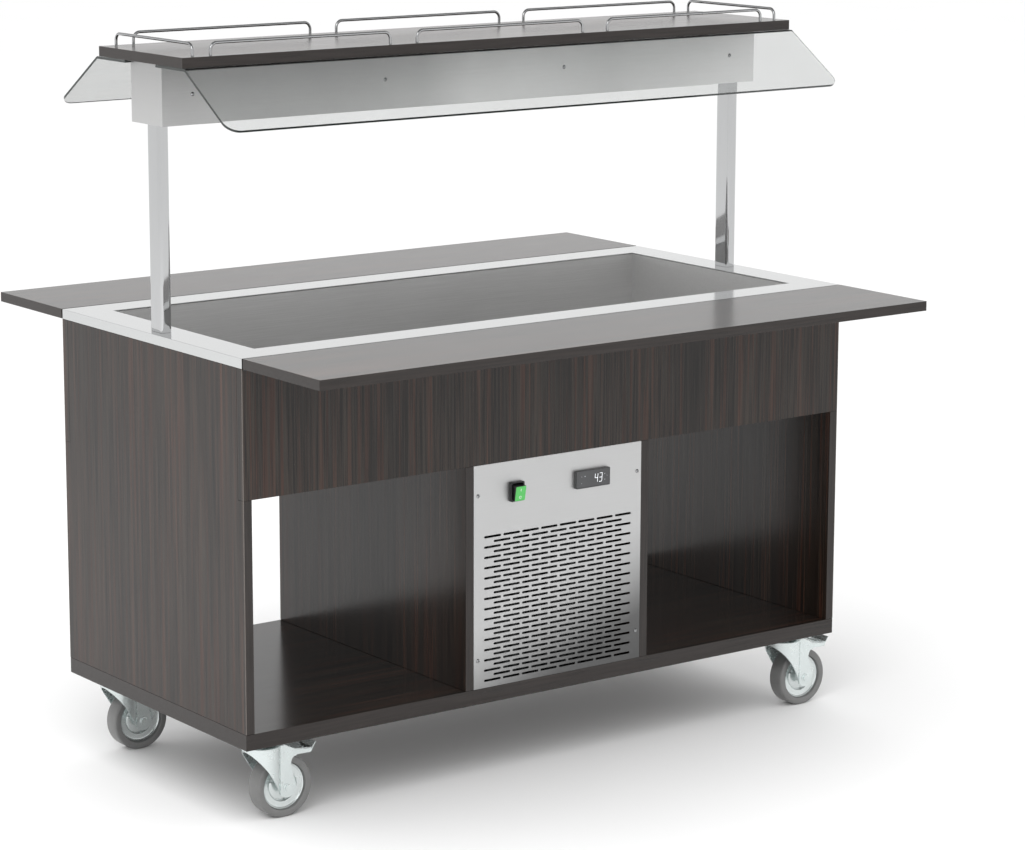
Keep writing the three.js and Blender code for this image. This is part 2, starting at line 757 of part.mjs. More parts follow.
function shelfSet(face, turned) {
  const side = new THREE.Group();
  side.rotation.z = turned;
  saladBar.add(side);
  const y = -halfD - HINGE.out;
  const inner = -halfD - SHELF_GAP;
  const outer = inner - SHELF_DEPTH;
  const under = WORK_HEIGHT - SHELF_THICK;
  add(side, "shelf_" + face, box([-halfL, halfL], [outer, inner], [under, WORK_HEIGHT]), wenge());

  // Three tapered arms on a strip screwed up into the shelf.
  const armOutline = new THREE.Shape();
  armOutline.moveTo(inner - 2, under - GAP);
  armOutline.lineTo(outer + 40, under - GAP);
  armOutline.lineTo(outer + 40, under - 9);
  armOutline.lineTo(y - 20, HINGE.z - 9);
  armOutline.absarc(y, HINGE.z, 9, -0.7 * Math.PI, -0.1 * Math.PI, false);
  armOutline.lineTo(inner - 2, HINGE.z + 6);
  armOutline.holes = [roundHole(y, HINGE.z, HINGE.pin + 1)];
  const along = [-HINGE.strip / 2, HINGE.strip / 2];
  const strip = box(along, [y - 50, y - 22], [under - GAP - HINGE.sheet, under - GAP]);
  const arms = HINGE.xs.map((x) =>
    carryX(armOutline, [x - HINGE.arm / 2, x + HINGE.arm / 2], 3),
  );
  add(side, "shelf_frame_" + face, join(strip, ...arms), brushedSteel());

  // The wall strip carries a pair of lugs with a pin for each arm.
  const wallFace = -halfD - GAP;
  const wallStrip = box(along, [wallFace - HINGE.sheet, wallFace], [HINGE.z - 22, under - 4]);
  const lugOutline = new THREE.Shape();
  lugOutline.moveTo(wallFace - 1, HINGE.z - 20);
  lugOutline.lineTo(wallFace - 1, HINGE.z + 10);
  lugOutline.absarc(y, HINGE.z, 10, Math.PI / 2, Math.PI * 1.3, false);
  const lugs = HINGE.xs.flatMap((x) => {
    const near = HINGE.lugGap / 2;
    const plates = [-1, 1].map((s) =>
      carryX(lugOutline, span(s, near, near + HINGE.lug), 2).translate(x, 0, 0),
    );
    const end = near + HINGE.lug + 2;
    return [...plates, barX(HINGE.pin, [x - end, x + end], y, HINGE.z, 6)];
  });
  add(side, "hinge_rail_" + face, join(wallStrip, ...lugs), brushedSteel());
}

// ---- Casters ------------------------------------------------------------------------------
// The fork is pressed from one sheet: a round skirt about an axis just behind the swivel, which
// creases into two flat legs.
const CROWN = { top: 150, sheet: 3, centreX: -4, radius: 38.5, legY: 28 };
const LEG = { boss: 19, waist: [46, 115], armEnd: 60, armLow: 124.3, armHigh: 137 };
const BOLT = { radius: 4, head: 7.5, proud: 4 };
const PLATE = { length: 105, width: 85, thick: 3, slotX: [32, 45], slotY: [26, 35] };
const RACE = { neck: 25, bulge: 31 };
const PEDAL = {
  x: 34,
  z: 133,
  eye: 8,
  pin: 3,
  toe: [95.5, 124],
  step: [100.5, 133],
  lip: [107.5, 143.4],
  heel: 60,
  sheet: 2.5,
};

// Plan outline of the pressed fork, at a depth of inset into its sheet.
function forkPlan(inset) {
  const radius = CROWN.radius - inset;
  const leg = CROWN.legY - inset;
  const meet = Math.asin(leg / radius);
  const end = LEG.armEnd + 10;
  const plan = new THREE.Shape();
  plan.moveTo(end, -leg);
  plan.lineTo(end, leg);
  plan.absarc(CROWN.centreX, 0, radius, meet, 2 * Math.PI - meet, false);
  return plan;
}

function casterFork() {
  const axle = { x: TRAIL, z: WHEEL.radius };
  const shell = cut(
    raise(forkPlan(0), [30, CROWN.top]),
    raise(forkPlan(CROWN.sheet), [20, CROWN.top - CROWN.sheet]),
    disc(7, [CROWN.top - 10, CROWN.top + 1], 8),
  );
  // Side outline: the skirt's slanted lower edge, a round end at the axle, a waist behind the
  // tyre and a short arm for the pedal.
  const left = CROWN.centreX - CROWN.radius - 1;
  const side = new THREE.Shape();
  side.moveTo(left, CROWN.top + 1);
  side.lineTo(left, 144);
  side.lineTo(-4, 93);
  side.absarc(axle.x, axle.z, LEG.boss, 1.15 * Math.PI, 2.05 * Math.PI, false);
  side.lineTo(LEG.waist[0], LEG.waist[1] - 12);
  side.quadraticCurveTo(...LEG.waist, LEG.armEnd - 3, LEG.armLow);
  side.lineTo(LEG.armEnd, LEG.armLow);
  side.lineTo(LEG.armEnd, LEG.armHigh);
  side.lineTo(30, CROWN.top + 1);
  const pressed = common(shell, carryY(side, [-50, 50], 3));
  const reach = CROWN.legY + BOLT.proud;
  const bolt = barY(BOLT.radius, [-reach, reach], axle.x, axle.z, 6);
  const heads = [-1, 1].map((s) =>
    barY(BOLT.head, span(s, CROWN.legY - 0.5, reach), axle.x, axle.z, 6),
  );
  const pinReach = CROWN.legY + 1.5;
  const pedalPin = barY(PEDAL.pin, [-pinReach, pinReach], PEDAL.x, PEDAL.z, 6);
  return join(pressed, bolt, ...heads, pedalPin);
}

function casterPlate() {
  const top = CASTER_HEIGHT - GAP;
  const under = top - PLATE.thick;
  const slots = [-1, 1].flatMap((a) =>
    [-1, 1].map((b) => box(span(a, ...PLATE.slotX), span(b, ...PLATE.slotY), [under - 1, top + 1])),
  );
  const sheet = cut(raise(roundedRectangle(PLATE.length, PLATE.width, 6), [under, top], 1), ...slots);
  const seat = CROWN.top + GAP;
  const race = revolve(
    [
      [0, seat],
      [RACE.neck, seat],
      [RACE.bulge, (seat + under) / 2],
      [RACE.neck, under + 1],
      [0, under + 1],
    ],
    12,
  );
  const kingpin = disc(6, [CROWN.top - 10, seat + 1], 6);
  const nut = disc(10, [CROWN.top - 12, CROWN.top - CROWN.sheet - GAP], 6);
  return join(sheet, race, kingpin, nut);
}

// The pressed disc is dished: a flat middle, a ring of press-work and the bead of the tyre.
function wheelRim() {
  const half = [
    [4.4, 24],
    [11, 24],
    [12.5, 9],
    [30, 9],
    [47.4, 13],
  ];
  const mirrored = half.map(([r, y]) => [r, -y]).reverse();
  return revolveY([...half, ...mirrored], 16);
}

function wheelTyre() {
  const { radius, width, segments } = WHEEL;
  const corner = radius / Math.cos(Math.PI / segments); // so that the flats lie at the radius
  const w = width / 2;
  const shoulder = 2.5;
  const half = [
    [47.9, w - 1],
    [corner - shoulder, w],
    [corner, w - shoulder],
  ];
  const mirrored = half.map(([r, y]) => [r, -y]).reverse();
  return revolveY([...half, ...mirrored], segments);
}

// Two cheeks between the fork's legs carry a tread that turns up into a lip at its end.
function brakePedal() {
  const { x, z, eye, pin, toe, step, lip, heel, sheet } = PEDAL;
  const cheekY = CROWN.legY - CROWN.sheet - 0.4;
  const cheek = new THREE.Shape();
  cheek.moveTo(...toe);
  cheek.lineTo(...step);
  cheek.lineTo(x + 4, z + eye - 0.5);
  cheek.absarc(x, z, eye, 0.35 * Math.PI, 1.5 * Math.PI, false);
  cheek.lineTo(heel + 4, z - eye);
  cheek.holes = [roundHole(x, z, pin + 0.9)];
  const cheeks = [-1, 1].map((s) => carryY(cheek, span(s, cheekY - sheet, cheekY), 3));
  const tread = polygon([
    [heel, z + 2.2],
    [step[0] - 1.5, step[1] - 1.2],
    lip,
    [lip[0] - 2, lip[1] + 1.2],
    [step[0] - 3, step[1] + 1.2],
    [heel, z + 4.6],
  ]);
  return join(...cheeks, carryY(tread, [-cheekY, cheekY]));
}

function caster(corner, x, y) {
  const group = new THREE.Group();
  group.position.set(x, y, 0);
  saladBar.add(group);
  add(group, "caster_plate_" + corner, casterPlate(), zincPlate());
  add(group, "caster_fork_" + corner, casterFork(), zincPlate());
  add(group, "brake_pedal_" + corner, brakePedal(), zincPlate());
  const wheel = new THREE.Group();
  wheel.position.set(TRAIL, 0, WHEEL.radius);
  group.add(wheel);
  add(wheel, "wheel_rim_" + corner, wheelRim(), zincPlate());
  add(wheel, "tyre_" + corner, wheelTyre(), greyRubber());
}

// ---- Assembly -----------------------------------------------------------------------------
carcass();
worktop();
well();
grillePanel();
rearPanel();
controls();
compressor();
condenserAndFan();
posts();
beam();
canopyGlass();
canopyBoard();
gallery();
shelfSet("front", 0);
shelfSet("rear", Math.PI);
for (const [face, ySign] of FACES)
  for (const [side, xSign] of SIDES)
    caster(face + "_" + side, xSign * CASTER_X, ySign * CASTER_Y);

export default saladBar;
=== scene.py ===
import math

import bmesh
import bpy
from mathutils import Matrix, Vector


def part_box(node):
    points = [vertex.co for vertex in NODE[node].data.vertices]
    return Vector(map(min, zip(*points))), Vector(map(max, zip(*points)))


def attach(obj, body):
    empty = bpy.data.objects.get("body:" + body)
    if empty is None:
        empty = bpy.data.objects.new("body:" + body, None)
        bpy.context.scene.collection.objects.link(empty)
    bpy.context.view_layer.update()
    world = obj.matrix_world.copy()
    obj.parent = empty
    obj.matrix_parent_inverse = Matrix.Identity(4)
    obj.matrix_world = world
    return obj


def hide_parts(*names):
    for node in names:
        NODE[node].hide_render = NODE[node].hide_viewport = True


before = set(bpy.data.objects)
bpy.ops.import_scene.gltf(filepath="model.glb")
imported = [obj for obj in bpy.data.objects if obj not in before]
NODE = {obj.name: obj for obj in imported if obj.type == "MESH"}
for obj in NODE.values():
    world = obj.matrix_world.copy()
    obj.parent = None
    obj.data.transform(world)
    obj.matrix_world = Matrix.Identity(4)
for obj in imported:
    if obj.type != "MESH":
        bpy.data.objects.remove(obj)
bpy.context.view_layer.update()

scene = bpy.context.scene
MM = 0.001

# The photograph's camera, solved from the straight edges of the cart. The image size, the focal
# length and the principal point are in pixels, and the place is in metres.
IMAGE_WIDTH, IMAGE_HEIGHT = 1025, 850
FOCAL_LENGTH = 3311.7084
PRINCIPAL_X, PRINCIPAL_Y = 451.0716, 397.0553
CAMERA_PLACE = (-3.971894, -5.545270, 2.055977)
CAMERA_RIGHT = (0.8144028, -0.5802995, -0.0007704)
CAMERA_UP = (0.1122209, 0.1561900, 0.9813313)
CAMERA_AHEAD = (0.5693458, 0.7992854, -0.1923233)
SENSOR_WIDTH = 36

# The studio's brightness by the height of the direction, from the horizon to the zenith, as it
# lights a surface and as a mirror shows it.
WORLD_STRENGTH = 1.22
WORLD_LIT = [(0.0, 0.9), (0.12, 1.0), (0.45, 1.0), (1.0, 1.0)]
WORLD_MIRRORED = [(0.0, 0.86), (0.25, 0.79), (0.6, 0.32), (1.0, 0.19)]

# The folded steel panels at the front and the rear, in metres, drawn at the front.
PANEL_SHEET = 0.002
PANEL_FOLD = 0.0018  # thickness drawn for the folded edges
PANEL_MIDDLE_Y = -0.344
PANEL_FRONT_Y, PANEL_BACK_Y = -0.345, -0.333
PANEL_SCREWS = [(-0.202, 0.596), (0.202, 0.596), (-0.202, 0.257), (0.202, 0.257)]

# The ventilation slots, in millimetres.
SLOT_ROWS, SLOTS_PER_ROW = 29, 8
SLOT_PITCH, SLOT_ROW_PITCH, SLOT_TOP_ROW = 47.4, 10.6, 509.7
VENT_ROWS, VENT_ROW_PITCH, VENT_TOP_ROW = 10, 30, 560

# Centres (x, z) of the switch and the display on the front panel.
SWITCH_PLACE = (-0.109, 0.595)
DISPLAY_PLACE = (0.082, 0.598)

# The casters: swivel axes, and the wheel's axle behind and below each.
CORNERS = {
    f"{face}_{side}": (sx * 0.671, sy * 0.278)
    for face, sy in (("front", -1), ("rear", 1))
    for side, sx in (("left", -1), ("right", 1))
}
TRAIL, AXLE = 0.038, 0.0625
WHEEL_RADIUS, WHEEL_HALF_WIDTH = 0.0625, 0.019
PEDAL_PIN = (0.034, 0.133)  # x and z

# The canopy glass, as in the solid: a flange under the board and a slope down from it.
GLASS_THICK, GLASS_REACH, GLASS_DROP = 0.005, 0.324, 0.1037
GLASS_SLOPE = math.radians(33.5)
GLASS_BEND, GLASS_CORNER = 0.012, 0.028
GLASS_INNER = 0.0583

# The gallery rails.
RAIL_WIRE, RAIL_BEND = 0.003, 0.014
RAIL_TOP, RAIL_FOOT = 1.5070, 1.4829
RAIL_PITCH, RAIL_LONG, RAIL_SHORT = 0.479, 0.415, 0.289


# ------------------------------------------------------------------ camera, stage and light
def make_camera():
    right, up, ahead = Vector(CAMERA_RIGHT), Vector(CAMERA_UP), Vector(CAMERA_AHEAD)
    data = bpy.data.cameras.new("photo_camera")
    data.sensor_width = SENSOR_WIDTH
    data.lens = FOCAL_LENGTH * SENSOR_WIDTH / IMAGE_WIDTH
    data.shift_x = (IMAGE_WIDTH / 2 - PRINCIPAL_X) / IMAGE_WIDTH
    data.shift_y = (PRINCIPAL_Y - IMAGE_HEIGHT / 2) / IMAGE_WIDTH
    data.clip_end = 200
    camera = bpy.data.objects.new("photo_camera", data)
    scene.collection.objects.link(camera)
    turn = Matrix((right, up, -ahead)).transposed().to_4x4()
    camera.matrix_world = Matrix.Translation(CAMERA_PLACE) @ turn
    scene.camera = camera


def area_light(name, place, target, size, power, glossy=True):
    data = bpy.data.lights.new(name, "AREA")
    data.shape = "RECTANGLE"
    data.size, data.size_y = size
    data.energy = power
    light = bpy.data.objects.new(name, data)
    light.location = place
    aim = Vector(target) - Vector(place)
    light.rotation_euler = aim.to_track_quat("-Z", "Y").to_euler()
    light.visible_glossy = glossy
    scene.collection.objects.link(light)


def make_world():
    """A pale studio. Surfaces are lit evenly, and mirrors see it darken towards the ceiling."""
    world = bpy.data.worlds.new("studio")
    world.use_nodes = True
    tree = world.node_tree
    background = tree.nodes["Background"]
    coordinate = tree.nodes.new("ShaderNodeTexCoord")
    split = tree.nodes.new("ShaderNodeSeparateXYZ")
    tree.links.new(coordinate.outputs["Generated"], split.inputs[0])

    def by_height(stops):
        ramp = tree.nodes.new("ShaderNodeValToRGB")
        tree.links.new(split.outputs["Z"], ramp.inputs[0])
        while len(ramp.color_ramp.elements) < len(stops):
            ramp.color_ramp.elements.new(0.5)
        for element, (place, value) in zip(ramp.color_ramp.elements, stops):
            element.position = place
            element.color = (value, value, value, 1)
        return ramp.outputs[0]

    lit = by_height(WORLD_LIT)
    mirrored = by_height(WORLD_MIRRORED)
    path = tree.nodes.new("ShaderNodeLightPath")
    mix = tree.nodes.new("ShaderNodeMix")
    mix.data_type = "RGBA"
    tree.links.new(path.outputs["Is Glossy Ray"], mix.inputs[0])
    tree.links.new(lit, mix.inputs[6])
    tree.links.new(mirrored, mix.inputs[7])
    tree.links.new(mix.outputs[2], background.inputs["Color"])
    background.inputs["Strength"].default_value = WORLD_STRENGTH
    scene.world = world
    scene.view_settings.view_transform = "Standard"
    scene.view_settings.look = "None"


# ------------------------------------------------------------------ materials
class Shader:
    """A principled material and short calls for the nodes that feed it."""

    def __init__(self, name, base=(0.5, 0.5, 0.5), rough=0.5, metal=0.0):
        self.material = bpy.data.materials.new(name)
        self.material.use_nodes = True
        self.tree = self.material.node_tree
        self.bsdf = self.tree.nodes["Principled BSDF"]
        self.set("Base Color", (*base, 1))
        self.set("Roughness", rough)
        self.set("Metallic", metal)
        self.material.diffuse_color = (*base, 1)

    def set(self, socket, value):
        self.bsdf.inputs[socket].default_value = value

    def node(self, kind, **settings):
        made = self.tree.nodes.new(kind)
        for key, value in settings.items():
            if key.startswith("in_"):
                made.inputs[int(key[3:])].default_value = value
            else:
                setattr(made, key, value)
        return made

    def link(self, out, into):
        self.tree.links.new(out, into)

    def object_place(self):
        return self.node("ShaderNodeTexCoord").outputs["Object"]

    def noise(self, scale, detail=3.0, rough=0.5, shift=(0, 0, 0)):
        """Noise stretched by a scale per axis, in cycles a metre."""
        mapping = self.node("ShaderNodeMapping")
        mapping.inputs["Scale"].default_value = scale
        mapping.inputs["Location"].default_value = shift
        self.link(self.object_place(), mapping.inputs["Vector"])
        texture = self.node("ShaderNodeTexNoise")
        texture.inputs["Scale"].default_value = 1.0
        texture.inputs["Detail"].default_value = detail
        texture.inputs["Roughness"].default_value = rough
        self.link(mapping.outputs[0], texture.inputs["Vector"])
        return texture.outputs["Fac"]

    def ramp(self, fac, stops):
        made = self.node("ShaderNodeValToRGB")
        elements = made.color_ramp.elements
        while len(elements) < len(stops):
            elements.new(0.5)
        for element, (place, colour) in zip(elements, stops):
            element.position = place
            if isinstance(colour, (int, float)):
                colour = (colour, colour, colour)
            element.color = (*colour, 1)
        self.link(fac, made.inputs[0])
        return made.outputs[0]

    def mix(self, fac, a, b, blend="MIX"):
        made = self.node("ShaderNodeMix", data_type="RGBA", blend_type=blend)
        for value, socket in ((fac, made.inputs[0]), (a, made.inputs[6]), (b, made.inputs[7])):
            if hasattr(value, "is_output"):
                self.link(value, socket)
            else:
                socket.default_value = value if isinstance(value, float) else (*value, 1)
        return made.outputs[2]

    def math(self, operation, a, b=0.5):
        made = self.node("ShaderNodeMath", operation=operation)
        for value, socket in ((a, made.inputs[0]), (b, made.inputs[1])):
            if hasattr(value, "is_output"):
                self.link(value, socket)
            else:
                socket.default_value = value
        return made.outputs[0]

    def span(self, fac, low, high):
        """Maps 0..1 to low..high."""
        made = self.node("ShaderNodeMapRange")
        made.inputs["To Min"].default_value = low
        made.inputs["To Max"].default_value = high
        self.link(fac, made.inputs["Value"])
        return made.outputs[0]

    def slope(self, weights, low, high):
        """0 to 1 along a slanted direction in the object's own metres."""
        dot = self.node("ShaderNodeVectorMath", operation="DOT_PRODUCT", in_1=weights)
        self.link(self.object_place(), dot.inputs[0])
        made = self.node("ShaderNodeMapRange", in_1=low, in_2=high)
        self.link(dot.outputs["Value"], made.inputs["Value"])
        return made.outputs[0]

    def bump(self, fac, strength, distance):
        made = self.node("ShaderNodeBump")
        made.inputs["Strength"].default_value = strength
        made.inputs["Distance"].default_value = distance
        self.link(fac, made.inputs["Height"])
        self.link(made.outputs[0], self.bsdf.inputs["Normal"])

    def feed(self, out, socket):
        self.link(out, self.bsdf.inputs[socket])


def wood(name, grain, faces, seed=0.0, density=1.0, painted_shade_tone=(1.0, 1.0, 1.0)):
    """Dark streaked melamine on the faces across the axes in faces, and edge banding elsewhere.

    Density scales its streaks, in cycles a metre across it. The painted shade tone multiplies the colour
    of the grain.
    """
    s = Shader(name, (0.03, 0.024, 0.021), 0.2)
    s.set("IOR", 1.42)

    def stretched(cross, length):
        return tuple(length if a == grain else cross for a in "XYZ")

    fine = s.noise(stretched(270 * density, 4.5), 1.0, 0.5, (seed, 3 + seed, 7))
    pores = s.noise(stretched(480 * density, 13), 1.0, 0.5, (5, seed, 1))
    medium = s.noise(stretched(120 * density, 1.9), 1.5, 0.5, (seed, 11, 2 + seed))
    broad = s.noise(stretched(17, 0.7), 2.0, 0.5, (9, seed, 4))
    brown = (0.0240, 0.0132, 0.0096)
    dark = (0.0060, 0.0044, 0.0037)
    green = (0.0240, 0.0190, 0.0145)
    red = (0.0600, 0.0235, 0.0140)
    base = s.ramp(fine, [(0.42, dark), (0.50, brown), (0.58, green)])
    hue = s.ramp(medium, [(0.42, dark), (0.50, green), (0.55, brown), (0.64, red)])
    mixed = s.mix(0.45, base, hue)
    mixed = s.mix(1.0, mixed, s.ramp(broad, [(0.35, 0.74), (0.65, 1.24)]), "MULTIPLY")
    mixed = s.mix(0.6, mixed, s.ramp(pores, [(0.30, 0.5), (0.42, 1.0)]), "MULTIPLY")
    # Painted shade: a tone that makes the grain browner and darker where the light makes it look so.
    mixed = s.mix(1.0, mixed, painted_shade_tone, "MULTIPLY")
    edge_tone = s.noise(stretched(240, 9), 2.0, 0.5)
    banding = s.ramp(edge_tone, [(0.3, (0.0140, 0.0110, 0.0097)), (0.7, (0.0240, 0.0184, 0.0163))])
    split = s.node("ShaderNodeSeparateXYZ")
    s.link(s.node("ShaderNodeTexCoord").outputs["Normal"], split.inputs[0])
    away = [s.math("ABSOLUTE", split.outputs[axis]) for axis in faces]
    most = away[0] if len(away) == 1 else s.math("MAXIMUM", *away)
    is_face = s.math("GREATER_THAN", most, 0.6)
    s.feed(s.mix(is_face, banding, mixed), "Base Color")
    s.feed(s.span(pores, 0.24, 0.15), "Roughness")
    s.feed(s.span(fine, 0.40, 0.60), "Specular IOR Level")
    s.bump(s.math("MULTIPLY", pores, is_face), 0.12, 0.00006)
    return s.material


def brushed(name, axis, base, rough=0.30, depth=0.05, tone=0.06, blur=0.0, painted_reflections=()):
    """Stainless steel brushed along one axis. Painted reflections are tones painted across the sheet."""
    s = Shader(name, base, rough, 1.0)
    if blur:
        s.set("Anisotropic", blur)
        upward = s.node("ShaderNodeCombineXYZ", in_2=1.0)
        s.link(upward.outputs[0], s.bsdf.inputs["Tangent"])

    def stretched(cross, length):
        return tuple(length if a == axis else cross for a in "XYZ")

    fine = s.noise(stretched(2600, 18), 2.0, 0.6)
    coarse = s.noise(stretched(420, 5), 3.0, 0.55, (4, 2, 1))
    cloud = s.noise((7, 7, 7), 2.0, 0.5, (1, 5, 3))
    low = tuple(c * (1 - tone) for c in base)
    high = tuple(min(1.0, c * (1 + tone)) for c in base)
    tones = [(0.25, low), (0.75, high)]
    grain_and_painted_sheen = s.mix(0.5, s.ramp(fine, tones), s.ramp(coarse, tones))
    # Painted reflections: each one scales the base colour along a slope across the sheet.
    for weights, span, stops in painted_reflections:
        grain_and_painted_sheen = s.mix(1.0, grain_and_painted_sheen, s.ramp(s.slope(weights, *span), stops), "MULTIPLY")
    s.feed(grain_and_painted_sheen, "Base Color")
    spread = s.math("MULTIPLY", s.span(coarse, 0.82, 1.18), s.span(cloud, 0.92, 1.08))
    s.feed(s.math("MULTIPLY", spread, rough), "Roughness")
    s.bump(fine, depth, 0.00004)
    return s.material


def polished(name, base, rough, ripple=0.02):
    """Mirror-bright metal with the slight waviness and wipe marks of polishing."""
    s = Shader(name, base, rough, 1.0)
    wave = s.noise((22, 22, 9), 2.0, 0.4)
    marks = s.noise((260, 260, 30), 3.0, 0.6)
    s.feed(s.span(marks, rough * 0.7, rough * 1.6), "Roughness")
    s.bump(wave, ripple, 0.0004)
    low = tuple(c * 0.97 for c in base)
    s.feed(s.ramp(marks, [(0.3, low), (0.7, base)]), "Base Color")
    return s.material


def zinc(name, base=(0.70, 0.755, 0.75), rough=0.27):
    """Bright zinc plate on pressed steel."""
    s = Shader(name, base, rough, 0.82)
    cloud = s.noise((45, 45, 45), 2.0, 0.5)
    grain = s.noise((900, 900, 900), 2.0, 0.5)
    low = tuple(c * 0.97 for c in base)
    high = tuple(min(1.0, c * 1.02) for c in base)
    s.feed(s.ramp(cloud, [(0.3, low), (0.7, high)]), "Base Color")
    s.feed(s.span(cloud, rough * 0.94, rough * 1.06), "Roughness")
    s.bump(grain, 0.02, 0.00003)
    return s.material


def moulded(name, base, rough, grain=0.08, scale=1400, vary=0.06):
    """Moulded plastic or rubber with a faint texture."""
    s = Shader(name, base, rough)
    fine = s.noise((scale, scale, scale), 2.0, 0.5)
    cloud = s.noise((35, 35, 35), 3.0, 0.5)
    low = tuple(c * (1 - vary) for c in base)
    high = tuple(min(1.0, c * (1 + vary)) for c in base)
    s.feed(s.ramp(cloud, [(0.3, low), (0.7, high)]), "Base Color")
    s.feed(s.span(cloud, rough * 0.88, min(1.0, rough * 1.12)), "Roughness")
    s.bump(fine, grain, 0.00006)
    return s.material


def clear_glass():
    s = Shader("sneeze_glass", (0.80, 0.812, 0.808), 0.012)
    s.set("Transmission Weight", 1.0)
    s.set("IOR", 1.46)
    smudge = s.noise((9, 5, 9), 4.0, 0.6)
    s.feed(s.ramp(smudge, [(0.35, (0.795, 0.806, 0.801)), (0.65, (0.810, 0.822, 0.818))]), "Base Color")
    return s.material


def glass_edge():
    s = Shader("glass_edge", (0.020, 0.025, 0.024), 0.12)
    line = s.noise((700, 40, 40), 2.0, 0.5)
    s.feed(s.ramp(line, [(0.3, (0.014, 0.018, 0.017)), (0.7, (0.030, 0.036, 0.034))]), "Base Color")
    return s.material


def glow(name, colour, strength):
    s = Shader(name, colour, 0.4)
    s.set("Emission Color", (*colour, 1))
    s.set("Emission Strength", strength)
    veil = s.noise((1500, 1500, 1500), 2.0, 0.5)
    s.feed(s.span(veil, 0.3, 0.5), "Roughness")
    return s.material


# Painted stand-ins for the studio's reflections in the satin steel sheets, set against the
# photograph's tones. Each is a direction, its range in metres, and factors of the base colour
# along it. They stay where they are painted, whatever the light and the camera.
GRILLE_PAINTED_REFLECTION = (
    (-0.42, 0.0, 1.0),
    (0.12, 0.46),
    [(0.0, 0.22), (0.25, 0.26), (0.36, 0.40), (0.48, 0.60), (0.66, 0.86), (0.84, 1.0)],
)
BEAM_PAINTED_REFLECTION_ALONG = (
    (1.0, 0.0, 0.0),
    (-0.75, 0.75),
    [
        (0.0, 0.60), (0.10, 0.60), (0.27, 0.62), (0.41, 0.70),
        (0.49, 0.94), (0.57, 0.94), (0.73, 0.75), (1.0, 0.84),
    ],
)
BEAM_PAINTED_REFLECTION_DOWN = (
    (0.0, 0.0, 1.0),
    (1.342, 1.462),
    [(0.0, 1.0), (0.2, 0.97), (0.5, 0.90), (0.85, 0.80)],
)
BEAM_PAINTED_REFLECTIONS = [BEAM_PAINTED_REFLECTION_ALONG, BEAM_PAINTED_REFLECTION_DOWN]
# Painted shade: the side panels and dividers get a browner, darker tone, because the light makes them
# look browner than the front.
SIDE_PAINTED_SHADE = (1.0, 0.90, 0.84)  # the side panels look a little browner than the front

M = {
    "upright": wood("wenge_upright_x", "Z", "X", 0.0, 1.0, SIDE_PAINTED_SHADE),
    "apron": wood("wenge_apron", "Z", "XY"),
    "flat": wood("wenge_flat", "X", "Z", 5.0, 0.8),
    # Painted highlight: the pale colour of the corner strips.
    "band": moulded("edge_banding", (0.105, 0.090, 0.080), 0.22, 0.02, 300, 0.1),
    "steel": brushed("brushed_steel_x", "X", (0.62, 0.63, 0.63)),
    "rim": brushed("satin_worktop_steel", "X", (0.61, 0.62, 0.62), 0.12, 0.02, 0.02),
    "tub": brushed("tub_steel", "X", (0.67, 0.668, 0.665), 0.48, 0.12, 0.12),
    # The beam and the grille carry painted reflections in their base colour.
    "beam": brushed("beam_steel", "X", (0.93, 0.93, 0.927), 0.42, 0.05, 0.06, 0.6, BEAM_PAINTED_REFLECTIONS),
    "grille": brushed("grille_steel", "X", (0.545, 0.547, 0.547), 0.46, 0.06, 0.05, 0.2, [GRILLE_PAINTED_REFLECTION]),
    "vent": brushed("vent_steel", "X", (0.50, 0.502, 0.502), 0.46, 0.06, 0.05, 0.2),
    "chrome": polished("polished_post_steel", (0.53, 0.535, 0.54), 0.05),
    "wire": polished("chrome_wire", (0.40, 0.405, 0.41), 0.10, 0.01),
    "screw": polished("screw_steel", (0.36, 0.365, 0.37), 0.14, 0.0),
    "zinc": zinc("zinc_plate"),
    "rim_zinc": zinc("zinc_rim", (0.72, 0.765, 0.76), 0.27),
    "tyre": moulded("grey_tyre_rubber", (0.155, 0.155, 0.153), 0.36, 0.06, 900),
    "black": moulded("black_plastic", (0.010, 0.010, 0.011), 0.32, 0.05),
    "dark": moulded("display_bezel", (0.045, 0.046, 0.048), 0.28, 0.03),
    "window": moulded("display_window", (0.060, 0.061, 0.064), 0.12, 0.01),
    "green": moulded("green_rocker", (0.085, 0.50, 0.105), 0.30, 0.02),
    "enamel": moulded("black_enamel", (0.014, 0.015, 0.017), 0.38, 0.10, 500),
    "foam": moulded("foam_shell", (0.62, 0.52, 0.28), 0.85, 0.4, 260, 0.12),
    "fins": moulded("black_coated_fins", (0.020, 0.021, 0.023), 0.45, 0.08, 700),
    "fan": moulded("fan_plastic", (0.028, 0.029, 0.032), 0.5, 0.06),
    "opal": moulded("opal_diffuser", (0.86, 0.86, 0.84), 0.45, 0.15, 700, 0.02),
    "glass": clear_glass(),
    "edge": glass_edge(),
    "digits": glow("display_digits", (0.85, 0.87, 0.90), 0.62),
    "dots": glow("indicator_dots", (0.60, 0.62, 0.64), 0.45),
    "mark": moulded("printed_mark", (0.82, 0.86, 0.82), 0.4),
}


# ------------------------------------------------------------------ mesh helpers
def new_object(name, mesh, material, angle=35):
    made = bpy.data.objects.new(name, mesh)
    scene.collection.objects.link(made)
    mesh.materials.clear()
    for m in material if isinstance(material, (list, tuple)) else [material]:
        mesh.materials.append(m)
    mesh.shade_smooth()
    mesh.set_sharp_from_angle(angle=math.radians(angle))
    return made


